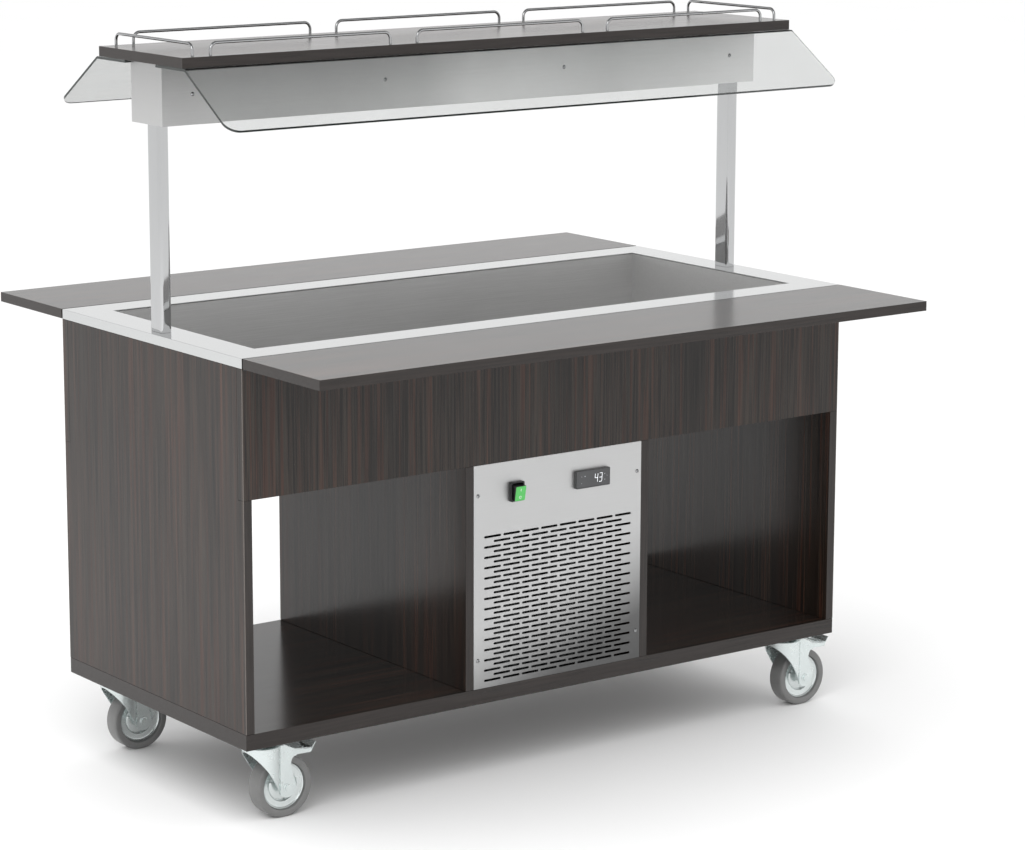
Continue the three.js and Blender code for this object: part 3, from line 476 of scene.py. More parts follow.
def bevel(obj, width, segments=2, angle=35, weld=False):
    if weld:
        obj.modifiers.new("weld", "WELD").merge_threshold = 0.00002
    made = obj.modifiers.new("bevel", "BEVEL")
    made.width = width
    made.segments = segments
    made.limit_method = "ANGLE"
    made.angle_limit = math.radians(angle)
    made.harden_normals = True
    made.use_clamp_overlap = True


def bake(obj):
    """The object's mesh with its modifiers applied."""
    graph = bpy.context.evaluated_depsgraph_get()
    graph.update()
    mesh = bpy.data.meshes.new_from_object(obj.evaluated_get(graph))
    obj.modifiers.clear()
    obj.data = mesh
    return obj


def mesh_of(verts, faces, name="mesh"):
    mesh = bpy.data.meshes.new(name)
    mesh.from_pydata([tuple(v) for v in verts], [], faces)
    mesh.update()
    return mesh


def face_outwards(mesh):
    bm = bmesh.new()
    bm.from_mesh(mesh)
    bmesh.ops.recalc_face_normals(bm, faces=bm.faces)
    bm.to_mesh(mesh)
    bm.free()


def prism(points, lo, hi, axis="Y", name="prism"):
    """A closed prism of an outline in (x, z), (y, z) or (x, y), along Y, X or Z."""
    def place(a, b, h):
        return {"Y": (a, h, b), "X": (h, a, b), "Z": (a, b, h)}[axis]

    n = len(points)
    verts = [place(a, b, lo) for a, b in points] + [place(a, b, hi) for a, b in points]
    faces = [tuple(range(n - 1, -1, -1)), tuple(range(n, 2 * n))]
    faces += [(i, (i + 1) % n, n + (i + 1) % n, n + i) for i in range(n)]
    mesh = mesh_of(verts, faces, name)
    face_outwards(mesh)
    return mesh


def lathe(profile, axis="Z", segments=48, name="lathe"):
    """Revolves (radius, height) points, closed unless they end on the axis."""
    verts, rings = [], []
    for r, h in profile:
        if r < 1e-9:
            rings.append([len(verts)])
            verts.append((0, 0, h))
            continue
        rings.append(list(range(len(verts), len(verts) + segments)))
        verts += [
            (r * math.cos(2 * math.pi * k / segments), r * math.sin(2 * math.pi * k / segments), h)
            for k in range(segments)
        ]
    closed = profile[0][0] > 1e-9
    faces = []
    pairs = list(zip(rings, rings[1:])) + ([(rings[-1], rings[0])] if closed else [])
    for a, b in pairs:
        for k in range(segments):
            j = (k + 1) % segments
            quad = [a[k % len(a)], a[j % len(a)], b[j % len(b)], b[k % len(b)]]
            quad = list(dict.fromkeys(quad))
            if len(quad) > 2:
                faces.append(tuple(quad))
    mesh = mesh_of(verts, faces, name)
    if axis == "Y":
        mesh.transform(Matrix.Rotation(-math.pi / 2, 4, "X"))
    face_outwards(mesh)
    return mesh


def joined(*meshes, name="joined"):
    """One mesh of several, each kept as its own closed shell."""
    bm = bmesh.new()
    for mesh in meshes:
        bm.from_mesh(mesh)
    made = bpy.data.meshes.new(name)
    bm.to_mesh(made)
    bm.free()
    return made


def moved(mesh, x=0.0, y=0.0, z=0.0, turn=None):
    made = mesh.copy()
    if turn is not None:
        made.transform(turn)
    made.transform(Matrix.Translation((x, y, z)))
    return made


def boolean(mesh, *steps):
    """Applies (operation, mesh) steps, such as ("DIFFERENCE", tool)."""
    base = bpy.data.objects.new("work", mesh)
    scene.collection.objects.link(base)
    tools = []
    for operation, tool in steps:
        other = bpy.data.objects.new("tool", tool)
        scene.collection.objects.link(other)
        tools.append(other)
        step = base.modifiers.new("step", "BOOLEAN")
        step.operation = operation
        step.solver = "EXACT"
        step.object = other
    bake(base)
    made = base.data
    for other in [base, *tools]:
        bpy.data.objects.remove(other)
    return made


def arc(cx, cy, r, start, end, steps=8):
    """Points on an arc, in degrees."""
    return [
        (
            cx + r * math.cos(math.radians(start + (end - start) * k / steps)),
            cy + r * math.sin(math.radians(start + (end - start) * k / steps)),
        )
        for k in range(steps + 1)
    ]


def bezier(start, pull, end, steps=8):
    """Points on a curve from start to end that bends towards pull."""
    return [
        tuple((1 - t) ** 2 * a + 2 * t * (1 - t) * b + t * t * c for a, b, c in zip(start, pull, end))
        for t in (k / steps for k in range(steps + 1))
    ]


def hexagon(radius):
    return [(radius * math.cos(k * math.pi / 3), radius * math.sin(k * math.pi / 3)) for k in range(6)]


def rounded(width, height, radius, cx=0.0, cy=0.0, steps=6):
    """A rectangle with round corners."""
    w, h = width / 2 - radius, height / 2 - radius
    return (
        arc(cx + w, cy - h, radius, -90, 0, steps)
        + arc(cx + w, cy + h, radius, 0, 90, steps)
        + arc(cx - w, cy + h, radius, 90, 180, steps)
        + arc(cx - w, cy - h, radius, 180, 270, steps)
    )


def sweep(points, radius, sides=14, name="sweep"):
    """A round bar along a smooth list of points, with closed ends."""
    points = [Vector(p) for p in points]
    verts, faces = [], []
    side = None
    for i, p in enumerate(points):
        before = (p - points[i - 1]).normalized() if i else (points[1] - p).normalized()
        after = (points[i + 1] - p).normalized() if i < len(points) - 1 else before
        along = (before + after).normalized()
        if side is None:
            side = along.orthogonal().normalized()
        side = (side - along * side.dot(along)).normalized()
        other = along.cross(side)
        widen = 1 / max(0.5, before.dot(along))
        for k in range(sides):
            a = 2 * math.pi * k / sides
            offset = side * math.cos(a) + other * math.sin(a)
            verts.append(p + offset * radius * (widen if 0 < i < len(points) - 1 else 1))
    for i in range(len(points) - 1):
        for k in range(sides):
            j = (k + 1) % sides
            faces.append((i * sides + k, i * sides + j, (i + 1) * sides + j, (i + 1) * sides + k))
    faces.append(tuple(range(sides - 1, -1, -1)))
    last = (len(points) - 1) * sides
    faces.append(tuple(range(last, last + sides)))
    mesh = mesh_of(verts, faces, name)
    face_outwards(mesh)
    return mesh


def punched(outline, holes, thick, edge=0.0, name="sheet"):
    """A flat sheet in XY with holes, centred on its thickness."""
    curve = bpy.data.curves.new(name, "CURVE")
    curve.dimensions = "2D"
    curve.fill_mode = "BOTH"
    curve.extrude = thick / 2 - edge
    curve.bevel_depth = edge
    curve.bevel_resolution = 1
    curve.offset = -edge
    for loop in [outline, *holes]:
        spline = curve.splines.new("POLY")
        spline.points.add(len(loop) - 1)
        for point, (a, b) in zip(spline.points, loop):
            point.co = (a, b, 0, 1)
        spline.use_cyclic_u = True
    holder = bpy.data.objects.new(name, curve)
    scene.collection.objects.link(holder)
    graph = bpy.context.evaluated_depsgraph_get()
    graph.update()
    mesh = bpy.data.meshes.new_from_object(holder.evaluated_get(graph))
    bpy.data.objects.remove(holder)
    return mesh


def place_on(made, body, replaces):
    """Lets an object ride a body, and hides the CAD node that it replaces."""
    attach(made, body)
    if replaces:
        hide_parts(replaces)
    return made


def piece(name, mesh, material, body, replaces=None, angle=35):
    return place_on(new_object(name, mesh, material, angle), body, replaces)


def repeat(source, name, place, body, replaces=None, turn=0.0):
    """The same mesh again at another place."""
    made = bpy.data.objects.new(name, source)
    scene.collection.objects.link(made)
    made.matrix_world = Matrix.Translation(place) @ Matrix.Rotation(turn, 4, "Z")
    bpy.context.view_layer.update()
    return place_on(made, body, replaces)


# A sheet drawn in XY, seen from the front, that stands in the XZ plane facing -Y.
UPRIGHT = Matrix.Rotation(math.pi / 2, 4, "X")


def dress(node, material):
    """A CAD node keeps its shape and gets a material."""
    obj = NODE[node]
    obj.data.materials.clear()
    obj.data.materials.append(material)
    return obj


make_camera()
make_world()


# ------------------------------------------------------------------ boards and plain sheets
def boards():
    for node in ("side_panel_left", "side_panel_right", "divider_left", "divider_right"):
        bevel(dress(node, M["upright"]), 0.0005, 2, weld=True)
    for node in ("front_apron", "rear_apron"):
        bevel(dress(node, M["apron"]), 0.0003, 2, weld=True)
    for node in ("base_panel", "bay_ceiling", "shelf_front", "shelf_rear", "canopy_board"):
        bevel(dress(node, M["flat"]), 0.0006, 2, weld=True)
    bevel(dress("worktop", M["rim"]), 0.0006, 2, weld=True)
    dress("well_tub", M["tub"])
    bevel(dress("canopy_beam", M["beam"]), 0.0008, 3, weld=True)
    dress("well_insulation", M["foam"])
    dress("light_diffuser", M["opal"])
    dress("compressor", M["enamel"])
    dress("condenser", M["fins"])
    dress("fan", M["fan"])
    for face in ("front", "rear"):
        bevel(dress("shelf_frame_" + face, M["steel"]), 0.0004, 2, weld=True)
        bevel(dress("hinge_rail_" + face, M["steel"]), 0.0004, 2, weld=True)


boards()


def add_shade_strips():
    """Painted shade: a black strip closes the slit between the worktop and each shelf and stands for the
    shade in it.
    """
    near, far, low, high, half = 0.3458, 0.3486, 0.9100, 0.9290, 0.748
    for face, sign in (("front", -1), ("rear", 1)):
        outline = [(near, low), (far, low), (far, high), (near, high)]
        strip = prism([(sign * y, z) for y, z in outline], -half, half, "X")
        piece("painted_shade_strip_" + face, strip, M["black"], "cart")


add_shade_strips()


def add_highlight_strips():
    """A painted highlight: a pale strip down each upright corner of the body stands for the bright line
    that the light draws there.
    """
    lo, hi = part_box("side_panel_left")
    for face, sy in (("front", -1), ("rear", 1)):
        for side, sx in (("left", -1), ("right", 1)):
            outline = arc(sx * 0.7494, sy * 0.3444, 0.0010, 0, 330, 11)
            strip = prism(outline, lo[2] + 0.001, hi[2], "Z")
            piece(f"corner_strip_{face}_{side}", strip, M["band"], "cart")


add_highlight_strips()


# ------------------------------------------------------------------ screws
def screw_head(radius=0.0042, height=0.0024):
    """A low domed head with a cross recess, facing -Y, its seat at y 0."""
    r, h = radius, height
    seat = 0.0006
    dome = [(0, -h), (r * 0.45, -h * 0.95), (r * 0.8, -h * 0.65), (r, -h * 0.15), (r, seat), (0, seat)]
    head = lathe(dome, "Z", 20)
    head.transform(Matrix.Rotation(-math.pi / 2, 4, "X"))
    bars = [
        prism(rounded(r * 1.15, r * 0.26, r * 0.1), -h * 1.5, -h * 0.35, "Y"),
        prism(rounded(r * 0.26, r * 1.15, r * 0.1), -h * 1.5, -h * 0.35, "Y"),
    ]
    return boolean(head, *[("DIFFERENCE", b) for b in bars])


SCREW = screw_head()


def screws(names_places, body, material, turn=0.0):
    mesh = SCREW.copy()
    mesh.materials.clear()
    mesh.materials.append(material)
    mesh.shade_smooth()
    mesh.set_sharp_from_angle(angle=math.radians(35))
    for name, place in names_places:
        repeat(mesh, name, place, body, turn=turn)


# ------------------------------------------------------------------ grille, switch and display
def obround(cx, cy, length, height, steps=6):
    """A slot with round ends."""
    r = height / 2
    reach = length / 2 - r
    return arc(cx + reach, cy, r, -90, 90, steps) + arc(cx - reach, cy, r, 90, 270, steps)


def folded_panel(holes, edge):
    """A steel sheet at the front with its four sides folded back, punched with the holes.

    Edge is the width of the bevel round the sheet and round each hole.
    """
    lo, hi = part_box("grille_panel")
    half = hi[0]
    face = rounded(2 * half, hi[2] - lo[2], 0.0006, 0, (hi[2] + lo[2]) / 2, 2)
    sheet = punched(face, holes, PANEL_SHEET, edge, "panel")
    sheet.transform(Matrix.Translation((0, PANEL_MIDDLE_Y, 0)) @ UPRIGHT)
    short_low, short_high = lo[2] + 0.0003, hi[2] - 0.0003
    inset = half - 0.001
    returns = [
        prism([(a, c), (b, c), (b, d), (a, d)], -0.3435, PANEL_BACK_Y, "Y")
        for a, b, c, d in (
            (-half, -half + PANEL_FOLD, short_low, short_high),
            (half - PANEL_FOLD, half, short_low, short_high),
            (-inset, inset, lo[2], lo[2] + PANEL_FOLD),
            (-inset, inset, hi[2] - PANEL_FOLD, hi[2]),
        )
    ]
    return joined(sheet, *returns)


def grille():
    holes = []
    for row in range(SLOT_ROWS):
        count = SLOTS_PER_ROW - row % 2
        z = (SLOT_TOP_ROW - SLOT_ROW_PITCH * row) * MM
        for i in range(count):
            x = (i - (count - 1) / 2) * SLOT_PITCH * MM
            holes.append(obround(x, z, 0.0418, 0.0047))
    holes.append(rounded(0.030, 0.036, 0.001, *SWITCH_PLACE))
    holes.append(rounded(0.080, 0.031, 0.001, *DISPLAY_PLACE))
    panel = folded_panel(holes, 0.0001)
    piece("grille_sheet", panel, M["grille"], "cart", "grille_panel", 1)
    places = [(f"grille_screw_{i}", (x, PANEL_FRONT_Y, z)) for i, (x, z) in enumerate(PANEL_SCREWS)]
    screws(places, "cart", M["screw"])


grille()


def rocker_switch():
    cx, cz = SWITCH_PLACE
    ring = punched(rounded(0.034, 0.040, 0.003), [rounded(0.027, 0.034, 0.0015)], 0.0078, 0.0008, "bezel")
    ring.transform(Matrix.Translation((cx, -0.3492, cz)) @ UPRIGHT)
    box_out = prism(rounded(0.029, 0.035, 0.001, cx, cz), -0.3470, -0.3190, "Y")
    box_in = prism(rounded(0.0264, 0.0332, 0.001, cx, cz), -0.3490, -0.3270, "Y")
    well = boolean(box_out, ("DIFFERENCE", box_in))
    blades = []
    for x in (cx - 0.006, cx + 0.006):
        left, right, low, high = x - 0.003, x + 0.003, cz - 0.001, cz + 0.001
        outline = [(left, low), (right, low), (right, high), (left, high)]
        blades.append(prism(outline, -0.3192, -0.310, "Y"))
    bezel = joined(ring, well, *blades)
    piece("switch_bezel", bezel, M["black"], "cart", "switch_housing")
    # The rocker is drawn round its pivot, with its face towards -Y.
    front = -0.0138
    side = [
        (0.0060, -0.0120),
        (0.0060, 0.0120),
        (0.0030, 0.0150),
        *arc(front + 0.0012, 0.0140, 0.0012, 90, 180, 4),
        *arc(front + 0.0012, -0.0140, 0.0012, 180, 270, 4),
        (0.0030, -0.0150),
    ]
    body = prism(side, -0.0125, 0.0125, "X")
    tilt = Matrix.Translation((cx, -0.348, cz)) @ Matrix.Rotation(math.radians(10), 4, "X")
    body.transform(tilt)
    made = piece("rocker_body", body, M["black"], "rocker", "switch_rocker", 20)
    bevel(made, 0.0004, 3, 25)

    def on_face(mesh, out, z=0.0):
        mesh.transform(tilt @ Matrix.Translation((0, front - out, z)) @ UPRIGHT)
        return mesh

    cap = on_face(punched(rounded(0.0246, 0.0306, 0.0012), [], 0.0009, 0.0002, "cap"), 0.0002)
    piece("rocker_cap", cap, M["green"], "rocker")
    bar = punched(rounded(0.0010, 0.0058, 0.0003), [], 0.0002, 0.0, "rocker_mark_on")
    outer, inner = (arc(0, 0, radius, 0, 345, 22) for radius in (0.0029, 0.0020))
    ring_mark = punched(outer, [inner], 0.0002, 0.0, "rocker_mark_off")
    for mark, z in ((bar, 0.0078), (ring_mark, -0.0078)):
        piece(mark.name, on_face(mark, 0.0007, z), M["mark"], "rocker")


rocker_switch()


def display():
    cx, cz = DISPLAY_PLACE
    opening = rounded(0.0815, 0.0325, 0.0012)
    shell = punched(rounded(0.086, 0.037, 0.0022), [opening], 0.0082, 0.0006, "frame")
    shell.transform(Matrix.Translation((cx, -0.3494, cz)) @ UPRIGHT)
    case = prism(rounded(0.078, 0.029, 0.001, cx, cz), -0.3460, -0.290, "Y")
    piece("display_case", joined(shell, case), M["dark"], "cart", "thermostat")
    window = punched(rounded(0.0820, 0.0330, 0.0012), [], 0.0020, 0.0003, "window")
    window.transform(Matrix.Translation((cx, -0.3522, cz)) @ UPRIGHT)
    piece("display_window", window, M["window"], "cart")
    # Two slanted seven-segment figures. A segment has its place (x, z) and whether it is upright.
    w, h, t = 0.0068, 0.0176, 0.0010
    slant = 0.10
    segments = {
        "a": (w / 2, h, 0), "b": (w, 0.75 * h, 1), "c": (w, 0.25 * h, 1),
        "f": (0, 0.75 * h, 1), "g": (w / 2, h / 2, 0), "d": (w / 2, 0, 0),
    }
    loops = []
    for digit, start in (("fgbc", 0.0041), ("abgcd", 0.0153)):
        for key in digit:
            x, z, upright = segments[key]
            long = (h / 2 if upright else w) - t * 0.25
            size = (t, long) if upright else (long, t)
            bar = rounded(*size, t * 0.45, start + x, z - h / 2)
            loops.append([(a + slant * b, b) for a, b in bar])
    figures = joined(*[punched(loop, [], 0.00015, 0.0, "segment") for loop in loops])
    # Small indicator dots: x, z and diameter.
    dots = [
        punched(rounded(d, d, d * 0.45, x, z), [], 0.00015, 0.0, "dot")
        for x, z, d in (
            (-0.0300, 0.0062, 0.0010),
            (-0.0215, 0.0062, 0.0016),
            (-0.0300, -0.0078, 0.0010),
            (0.0290, 0.0058, 0.0013),
            (0.0290, -0.0058, 0.0013),
            (0.0350, 0.0020, 0.0010),
        )
    ]
    place = Matrix.Translation((cx, -0.35335, cz)) @ UPRIGHT
    for name, mesh, glowing in (("figures", figures, M["digits"]), ("dots", joined(*dots), M["dots"])):
        mesh.transform(place)
        piece("display_" + name, mesh, glowing, "cart")


display()


# ------------------------------------------------------------------ rear panel
def rear_panel():
    """The vent on the staff side, drawn at the front and turned round."""
    holes = []
    for row in range(VENT_ROWS):
        for sign in (-1, 1):
            holes.append(obround(sign * 0.095, (VENT_TOP_ROW - VENT_ROW_PITCH * row) * MM, 0.160, 0.008))
    half_turn = Matrix.Rotation(math.pi, 4, "Z")
    panel = folded_panel(holes, 0.00025)
    panel.transform(half_turn)
    piece("rear_vent_sheet", panel, M["vent"], "cart", "rear_vent_panel", 1)
    nut = prism(hexagon(0.016), -0.352, -0.3445, "Y")
    profile = [(0.0055, -0.018), (0.0085, -0.0175), (0.0108, -0.013), (0.0112, 0.0), (0.0055, 0.0)]
    dome = lathe(profile, "Z", 28)
    dome.transform(Matrix.Translation((0, PANEL_FRONT_Y, 0)) @ Matrix.Rotation(-math.pi / 2, 4, "X"))
    gland = joined(nut, dome)
    gland.transform(half_turn @ Matrix.Translation((0.150, 0, 0.232)))
    bevel(piece("cable_gland", gland, M["black"], "cart"), 0.0006, 2)
    places = [(f"rear_screw_{i}", (x, -PANEL_FRONT_Y, z)) for i, (x, z) in enumerate(PANEL_SCREWS)]
    screws(places, "cart", M["screw"], math.pi)


rear_panel()


# ------------------------------------------------------------------ canopy
def canopy_glass():
    slope, bend = GLASS_SLOPE, GLASS_BEND
    half, _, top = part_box("glass_rear")[1]
    # The sheet bends where the slope, measured up from its lower edge, meets the flange.
    bend_y = GLASS_REACH - GLASS_DROP / math.tan(slope)
    cy, cz = bend_y - bend * math.tan(slope / 2), top - bend

    def on(radius, turn):
        return (cy + radius * math.sin(turn), cz + radius * math.cos(turn))

    steps = 10
    turns = [slope * k / steps for k in range(steps + 1)]
    outer = [(GLASS_INNER, top)] + [on(bend, turn) for turn in turns]
    along = (GLASS_REACH - outer[-1][0]) / math.cos(slope)
    dy, dz = math.cos(slope), -math.sin(slope)
    under = [(GLASS_INNER, top - GLASS_THICK)] + [on(bend - GLASS_THICK, turn) for turn in turns]
    outer.append((outer[-1][0] + along * dy, outer[-1][1] + along * dz))
    under.append((under[-1][0] + along * dy, under[-1][1] + along * dz))
    blank = prism(outer + under[::-1], -half, half, "X")
    # The lower corners are rounded in the plane of the slope.
    corner = GLASS_CORNER
    cutters = []
    tip = outer[-1]
    for s in (-1, 1):
        nib = [(0, 0), (0, -0.002), (corner + 0.002, -0.002), (corner + 0.002, corner)]
        nib += arc(0, corner, corner, 0, -90, 14)[:-1]
        tool = prism([(s * a, b) for a, b in nib], -0.010, 0.010, "Z")
        basis = Matrix(((1, 0, 0), (0, -dy, -dz), (0, dz, -dy))).transposed()
        tool.transform(Matrix.Translation((s * (half - corner), tip[0], tip[1])) @ basis.to_4x4())
        face_outwards(tool)
        cutters.append(("DIFFERENCE", tool))
    sheet = boolean(blank, *cutters)
    for name, turn in (("rear", 0.0), ("front", math.pi)):
        mesh = moved(sheet, turn=Matrix.Rotation(turn, 4, "Z"))
        looks = [M["glass"], M["edge"]]
        made = piece("glass_sheet_" + name, mesh, looks, "cart", "glass_" + name, 25)
        sign = 1 if name == "rear" else -1
        # The cut edges are dark, apart from the right end, which is seen through.
        for polygon in made.data.polygons:
            n = polygon.normal
            flat = abs(n.z) > 0.99 or abs(n.y * math.sin(slope) * sign + n.z * math.cos(slope)) > 0.97
            curved = abs(n.x) < 0.01 and abs(n.z) > 0.8
            polygon.material_index = 0 if flat or curved or n.x > 0.9 else 1


canopy_glass()


def posts():
    for side, sign in (("left", -1), ("right", 1)):
        lo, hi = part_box("post_" + side)
        outline = rounded(0.025, 0.045, 0.0075, steps=12)
        bore = rounded(0.021, 0.041, 0.0055, steps=12)
        tube = punched(outline, [bore], hi[2] - lo[2], 0.0, "post")
        tube.transform(Matrix.Translation((sign * 0.720, 0, (hi[2] + lo[2]) / 2)))
        piece("post_tube_" + side, tube, M["chrome"], "cart", "post_" + side, 40)


posts()


def rails():
    def hoop(length):
        half, bend, top, foot = length / 2, RAIL_BEND, RAIL_TOP, RAIL_FOOT
        path = [Vector((-half, 0, foot))]
        path += [Vector((x, 0, z)) for x, z in arc(-half + bend, top - bend, bend, 180, 90, 10)]
        path += [Vector((x, 0, z)) for x, z in arc(half - bend, top - bend, bend, 90, 0, 10)]
        path.append(Vector((half, 0, foot)))
        return sweep(path, RAIL_WIRE, 16, "hoop")

    long, short = hoop(RAIL_LONG), hoop(RAIL_SHORT)
    for face, sign in (("front", -1), ("rear", 1)):
        for i in (1, 2, 3):
            mesh = moved(long, (i - 2) * RAIL_PITCH, sign * 0.145)
            name = f"rail_{face}_{i}"
            piece("wire_" + name, mesh, M["wire"], "cart", name, 50)
    for side, sign in (("left", -1), ("right", 1)):
        mesh = moved(short, sign * 0.726, turn=Matrix.Rotation(math.pi / 2, 4, "Z"))
        piece("wire_rail_" + side, mesh, M["wire"], "cart", "rail_" + side, 50)


rails()


def beam_screws():
    columns = (-0.675, -0.2255, 0.2255, 0.675)
    for face, y, turn in (("front", -0.058, 0.0), ("rear", 0.058, math.pi)):
        places = [(f"beam_screw_{face}_{i}", (x, y, 1.4015)) for i, x in enumerate(columns)]
        screws(places, "cart", M["screw"], turn)


beam_screws()


# ------------------------------------------------------------------ casters
def fork_mesh():
    """A crown drawn down into two tapering cheeks, with an arm that carries the pedal's pin."""
    def plan(inset):
        r, leg = 0.0385 - inset, 0.028 - inset
        meet = math.degrees(math.asin(leg / r))
        return [(0.070, -leg), (0.070, leg)] + arc(-0.004, 0, r, meet, 360 - meet, 40)

    top = 0.150
    outer = prism(plan(0), 0.030, top, "Z")
    inner = prism(plan(0.003), 0.020, top - 0.003, "Z")
    bore = prism(arc(0, 0, 0.007, 0, 345, 23), 0.13, 0.16, "Z")
    side = [(-0.0435, top + 0.001), (-0.0435, 0.1440)]
    side += bezier((-0.0425, 0.1430), (-0.0200, 0.1185), (-0.0038, 0.0930), 10)
    side += arc(TRAIL, AXLE, 0.0200, 207, 369, 28)
    side += bezier((0.0465, 0.1040), (0.0465, 0.1235), (0.0580, 0.1243), 12)
    side += [(0.0600, 0.1243), (0.0600, 0.1370), (0.030, top + 0.001)]
    shape = prism(side, -0.05, 0.05, "Y")
    return boolean(outer, ("DIFFERENCE", inner), ("DIFFERENCE", bore), ("INTERSECT", shape))


def bolts_mesh():
    """The wheel's bolt with its two heads, and the rivet on which the pedal turns."""
    hex_head = prism(hexagon(0.0075), 0.0, 0.0045, "Y")
    profile = [(0, -0.0005), (0.0092, -0.0005), (0.0092, 0.0008), (0.0068, 0.0018), (0, 0.0018)]
    flange = lathe(profile, "Y", 28)
    bolt_ends = []
    for s in (-1, 1):
        turn = Matrix.Rotation(0 if s > 0 else math.pi, 4, "Z")
        for part in (hex_head, flange):
            bolt_ends.append(moved(part, TRAIL, s * 0.0278, AXLE, turn))
    shank = lathe([(0, -0.028), (0.004, -0.028), (0.004, 0.028), (0, 0.028)], "Y", 16)
    end = [(0.0042, 0.0280), (0.0040, 0.0283), (0, 0.0284)]
    rivet = lathe([(r, -h) for r, h in end[::-1]] + end, "Y", 20)
    x, z = PEDAL_PIN
    return joined(*bolt_ends, moved(shank, TRAIL, 0, AXLE), moved(rivet, x, 0, z))


def plate_mesh():
    """The top plate with four slots and bolts, the swivel race, and the kingpin with its nut."""
    corners = [(a * 0.0385, b * 0.0305) for a in (-1, 1) for b in (-1, 1)]
    plate_sheet = punched(
        rounded(0.105, 0.085, 0.006),
        [obround(x, y, 0.013, 0.009) for x, y in corners],
        0.003, 0.0004, "plate",
    )
    plate_sheet.transform(Matrix.Translation((0, 0, 0.1657 - 0.0015)))
    profile = [
        (0, 0.1504), (0.024, 0.1504), (0.0275, 0.1511), (0.0300, 0.1530), (0.0310, 0.1555),
        (0.0304, 0.1582), (0.0285, 0.1605), (0.0262, 0.1616), (0.0262, 0.1635), (0, 0.1635),
    ]
    race = lathe(profile, "Z", 48)
    profile = [(0, 0.1385), (0.0050, 0.1385), (0.0062, 0.1397), (0.0062, 0.1520), (0, 0.1520)]
    kingpin = lathe(profile, "Z", 24)
    nut = prism(hexagon(0.0098), 0.1390, 0.1465, "Z")
    bolts = [moved(prism(hexagon(0.0065), 0.1580, 0.1630, "Z"), x, y) for x, y in corners]
    return joined(plate_sheet, race, kingpin, nut, *bolts)


def rim_mesh():
    """Two pressed halves with a stepped dish, a bright lip and three small slots."""
    half = [
        (0.0045, 0.0230), (0.0098, 0.0230), (0.0106, 0.0222), (0.0110, 0.0130), (0.0124, 0.0098),
        (0.0160, 0.0088), (0.0262, 0.0086), (0.0280, 0.0078), (0.0294, 0.0070), (0.0308, 0.0078),
        (0.0326, 0.0098), (0.0372, 0.0104), (0.0410, 0.0100), (0.0434, 0.0106), (0.0450, 0.0124),
        (0.0462, 0.0131), (0.0472, 0.0126), (0.0474, 0.0095),
    ]
    rim = lathe(half + [(r, -h) for r, h in half[::-1]], "Y", 64)
    slots = []
    for degrees in (51, 158, 278):
        slot = prism(obround(0.0295, 0, 0.0075, 0.0030), -0.03, 0.03, "Y")
        slot.transform(Matrix.Rotation(math.radians(-degrees), 4, "Y"))
        slots.append(("DIFFERENCE", slot))
    return boolean(rim, *slots)


def tyre_mesh():
    w = WHEEL_HALF_WIDTH
    tread = [
        (0.0479, w - 0.0016), (0.0484, w - 0.0006), (0.0496, w - 0.0001),
        (0.0580, w), (0.0598, w - 0.0002), (0.0612, w - 0.0010),
        (0.0621, w - 0.0024), (WHEEL_RADIUS, w - 0.0044), (WHEEL_RADIUS, 0.0),
    ]
    return lathe(tread + [(r, -h) for r, h in tread[-2::-1]], "Y", 96)


def pedal_mesh():
    """Two cheeks on a pin, and a ribbed tread that turns up into a lip."""
    x, z = PEDAL_PIN
    cheek_out = (
        [(0.0950, 0.1240), (0.0962, 0.1247), (0.0996, 0.1310), (0.1002, 0.1326), (0.0992, 0.1330)]
        + [(x + 0.004, z + 0.0075)]
        + arc(x, z, 0.008, 63, 262, 14)
        + [(0.0640, 0.1248)]
    )
    hole = arc(x, z, 0.0036, 0, 342, 19)
    cheeks = []
    for s in (-1, 1):
        cheek = punched(cheek_out, [hole], 0.0025, 0.0003, "cheek")
        cheek.transform(Matrix.Translation((0, s * 0.02335, 0)) @ UPRIGHT)
        cheeks.append(cheek)
    tread_side = [
        (0.0600, 0.1352), (0.0978, 0.1316), (0.1000, 0.1322), (0.1074, 0.1432),
        (0.1058, 0.1442), (0.0984, 0.1340), (0.0968, 0.1342), (0.0600, 0.1376),
    ]
    tread_plate = prism(tread_side, -0.0246, 0.0246, "Y")
    ribs = []
    for k in range(2):
        left, right = x + 0.036 + 0.010 * k, x + 0.0385 + 0.010 * k
        outline = [(left, z + 0.0024), (right, z + 0.0024), (right, z + 0.0040), (left, z + 0.0042)]
        ribs.append(prism(outline, -0.017, 0.017, "Y"))
    return joined(*cheeks, tread_plate, *ribs)


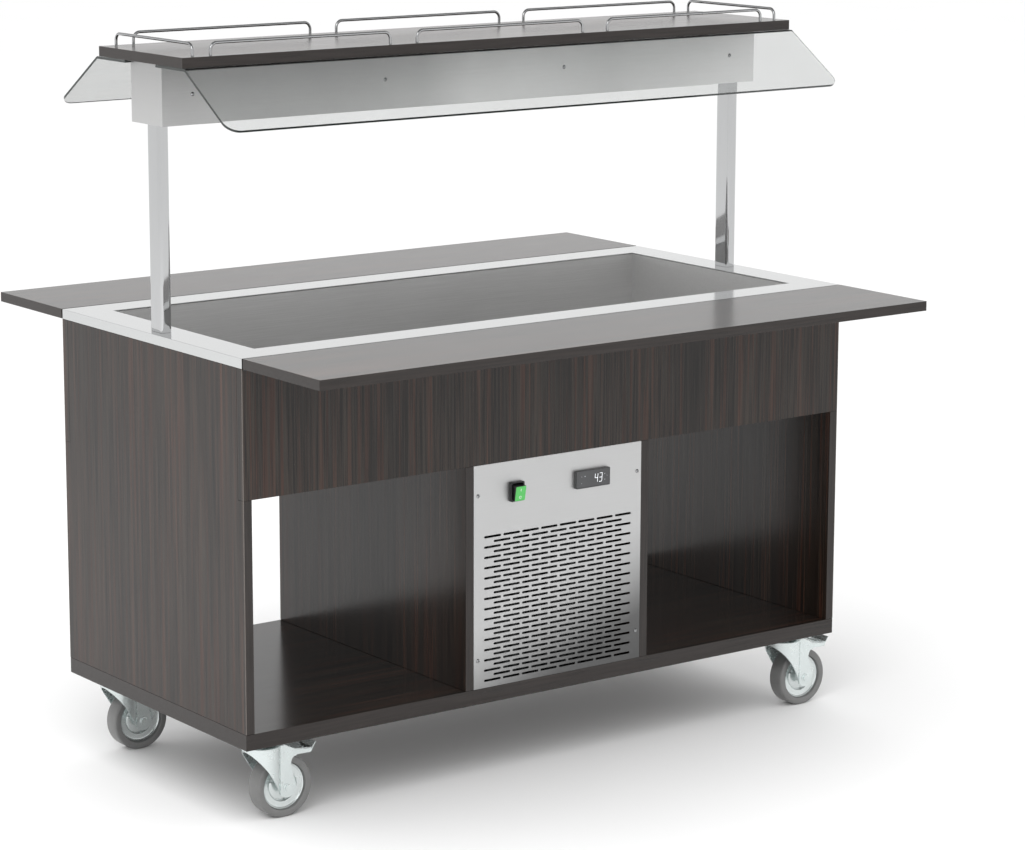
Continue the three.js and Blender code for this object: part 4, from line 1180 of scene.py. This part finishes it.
def casters():
    """Four casters of the same six meshes, drawn with the swivel axis at x 0, y 0."""
    def finish(mesh, material, width=0.0, angle=35):
        holder = new_object("holder", mesh, material, angle)
        if width:
            bevel(holder, width, 2, 30)
            bake(holder)
            holder.data.shade_smooth()
        made = holder.data
        bpy.data.objects.remove(holder)
        return made

    fork = finish(fork_mesh(), M["zinc"], 0.0007)
    bolts = finish(bolts_mesh(), M["zinc"])
    plate = finish(plate_mesh(), M["zinc"])
    rim = finish(rim_mesh(), M["rim_zinc"], 0, 28)
    tyre = finish(tyre_mesh(), M["tyre"], 0, 50)
    pedal = finish(pedal_mesh(), M["zinc"], 0.0004)
    for name, (x, y) in CORNERS.items():
        swivel, wheel, lever = "swivel_" + name, "wheel_" + name, "pedal_" + name
        repeat(plate, "caster_top_" + name, (x, y, 0), "cart", "caster_plate_" + name)
        repeat(fork, "fork_" + name, (x, y, 0), swivel, "caster_fork_" + name)
        repeat(bolts, "fork_bolts_" + name, (x, y, 0), swivel)
        repeat(pedal, "pedal_press_" + name, (x, y, 0), lever, "brake_pedal_" + name)
        repeat(rim, "rim_" + name, (x + TRAIL, y, AXLE), wheel, "wheel_rim_" + name)
        repeat(tyre, "tyre_ring_" + name, (x + TRAIL, y, AXLE), wheel, "tyre_" + name)


casters()


# ------------------------------------------------------------------ floor and light
def floor():
    reach = 30
    corners = [(-reach, -reach, 0), (reach, -reach, 0), (reach, reach, 0), (-reach, reach, 0)]
    mesh = mesh_of(corners, [(0, 1, 2, 3)], "floor")
    s = Shader("pale_floor", (0.84, 0.84, 0.84), 0.75)
    s.set("Specular IOR Level", 0.1)
    cloud = s.noise((1.5, 1.5, 1.5), 2.0, 0.5)
    s.feed(s.ramp(cloud, [(0.3, 0.835), (0.7, 0.845)]), "Base Color")
    made = new_object("studio_floor", mesh, s.material)


floor()
area_light("key", place=(-4.5, -3.5, 5.0), target=(0, 0, 0.6), size=(3.5, 3.5), power=140)
area_light("overhead", place=(-1.8, -0.6, 6.0), target=(0, 0, 0.9), size=(6, 4), power=105, glossy=False)
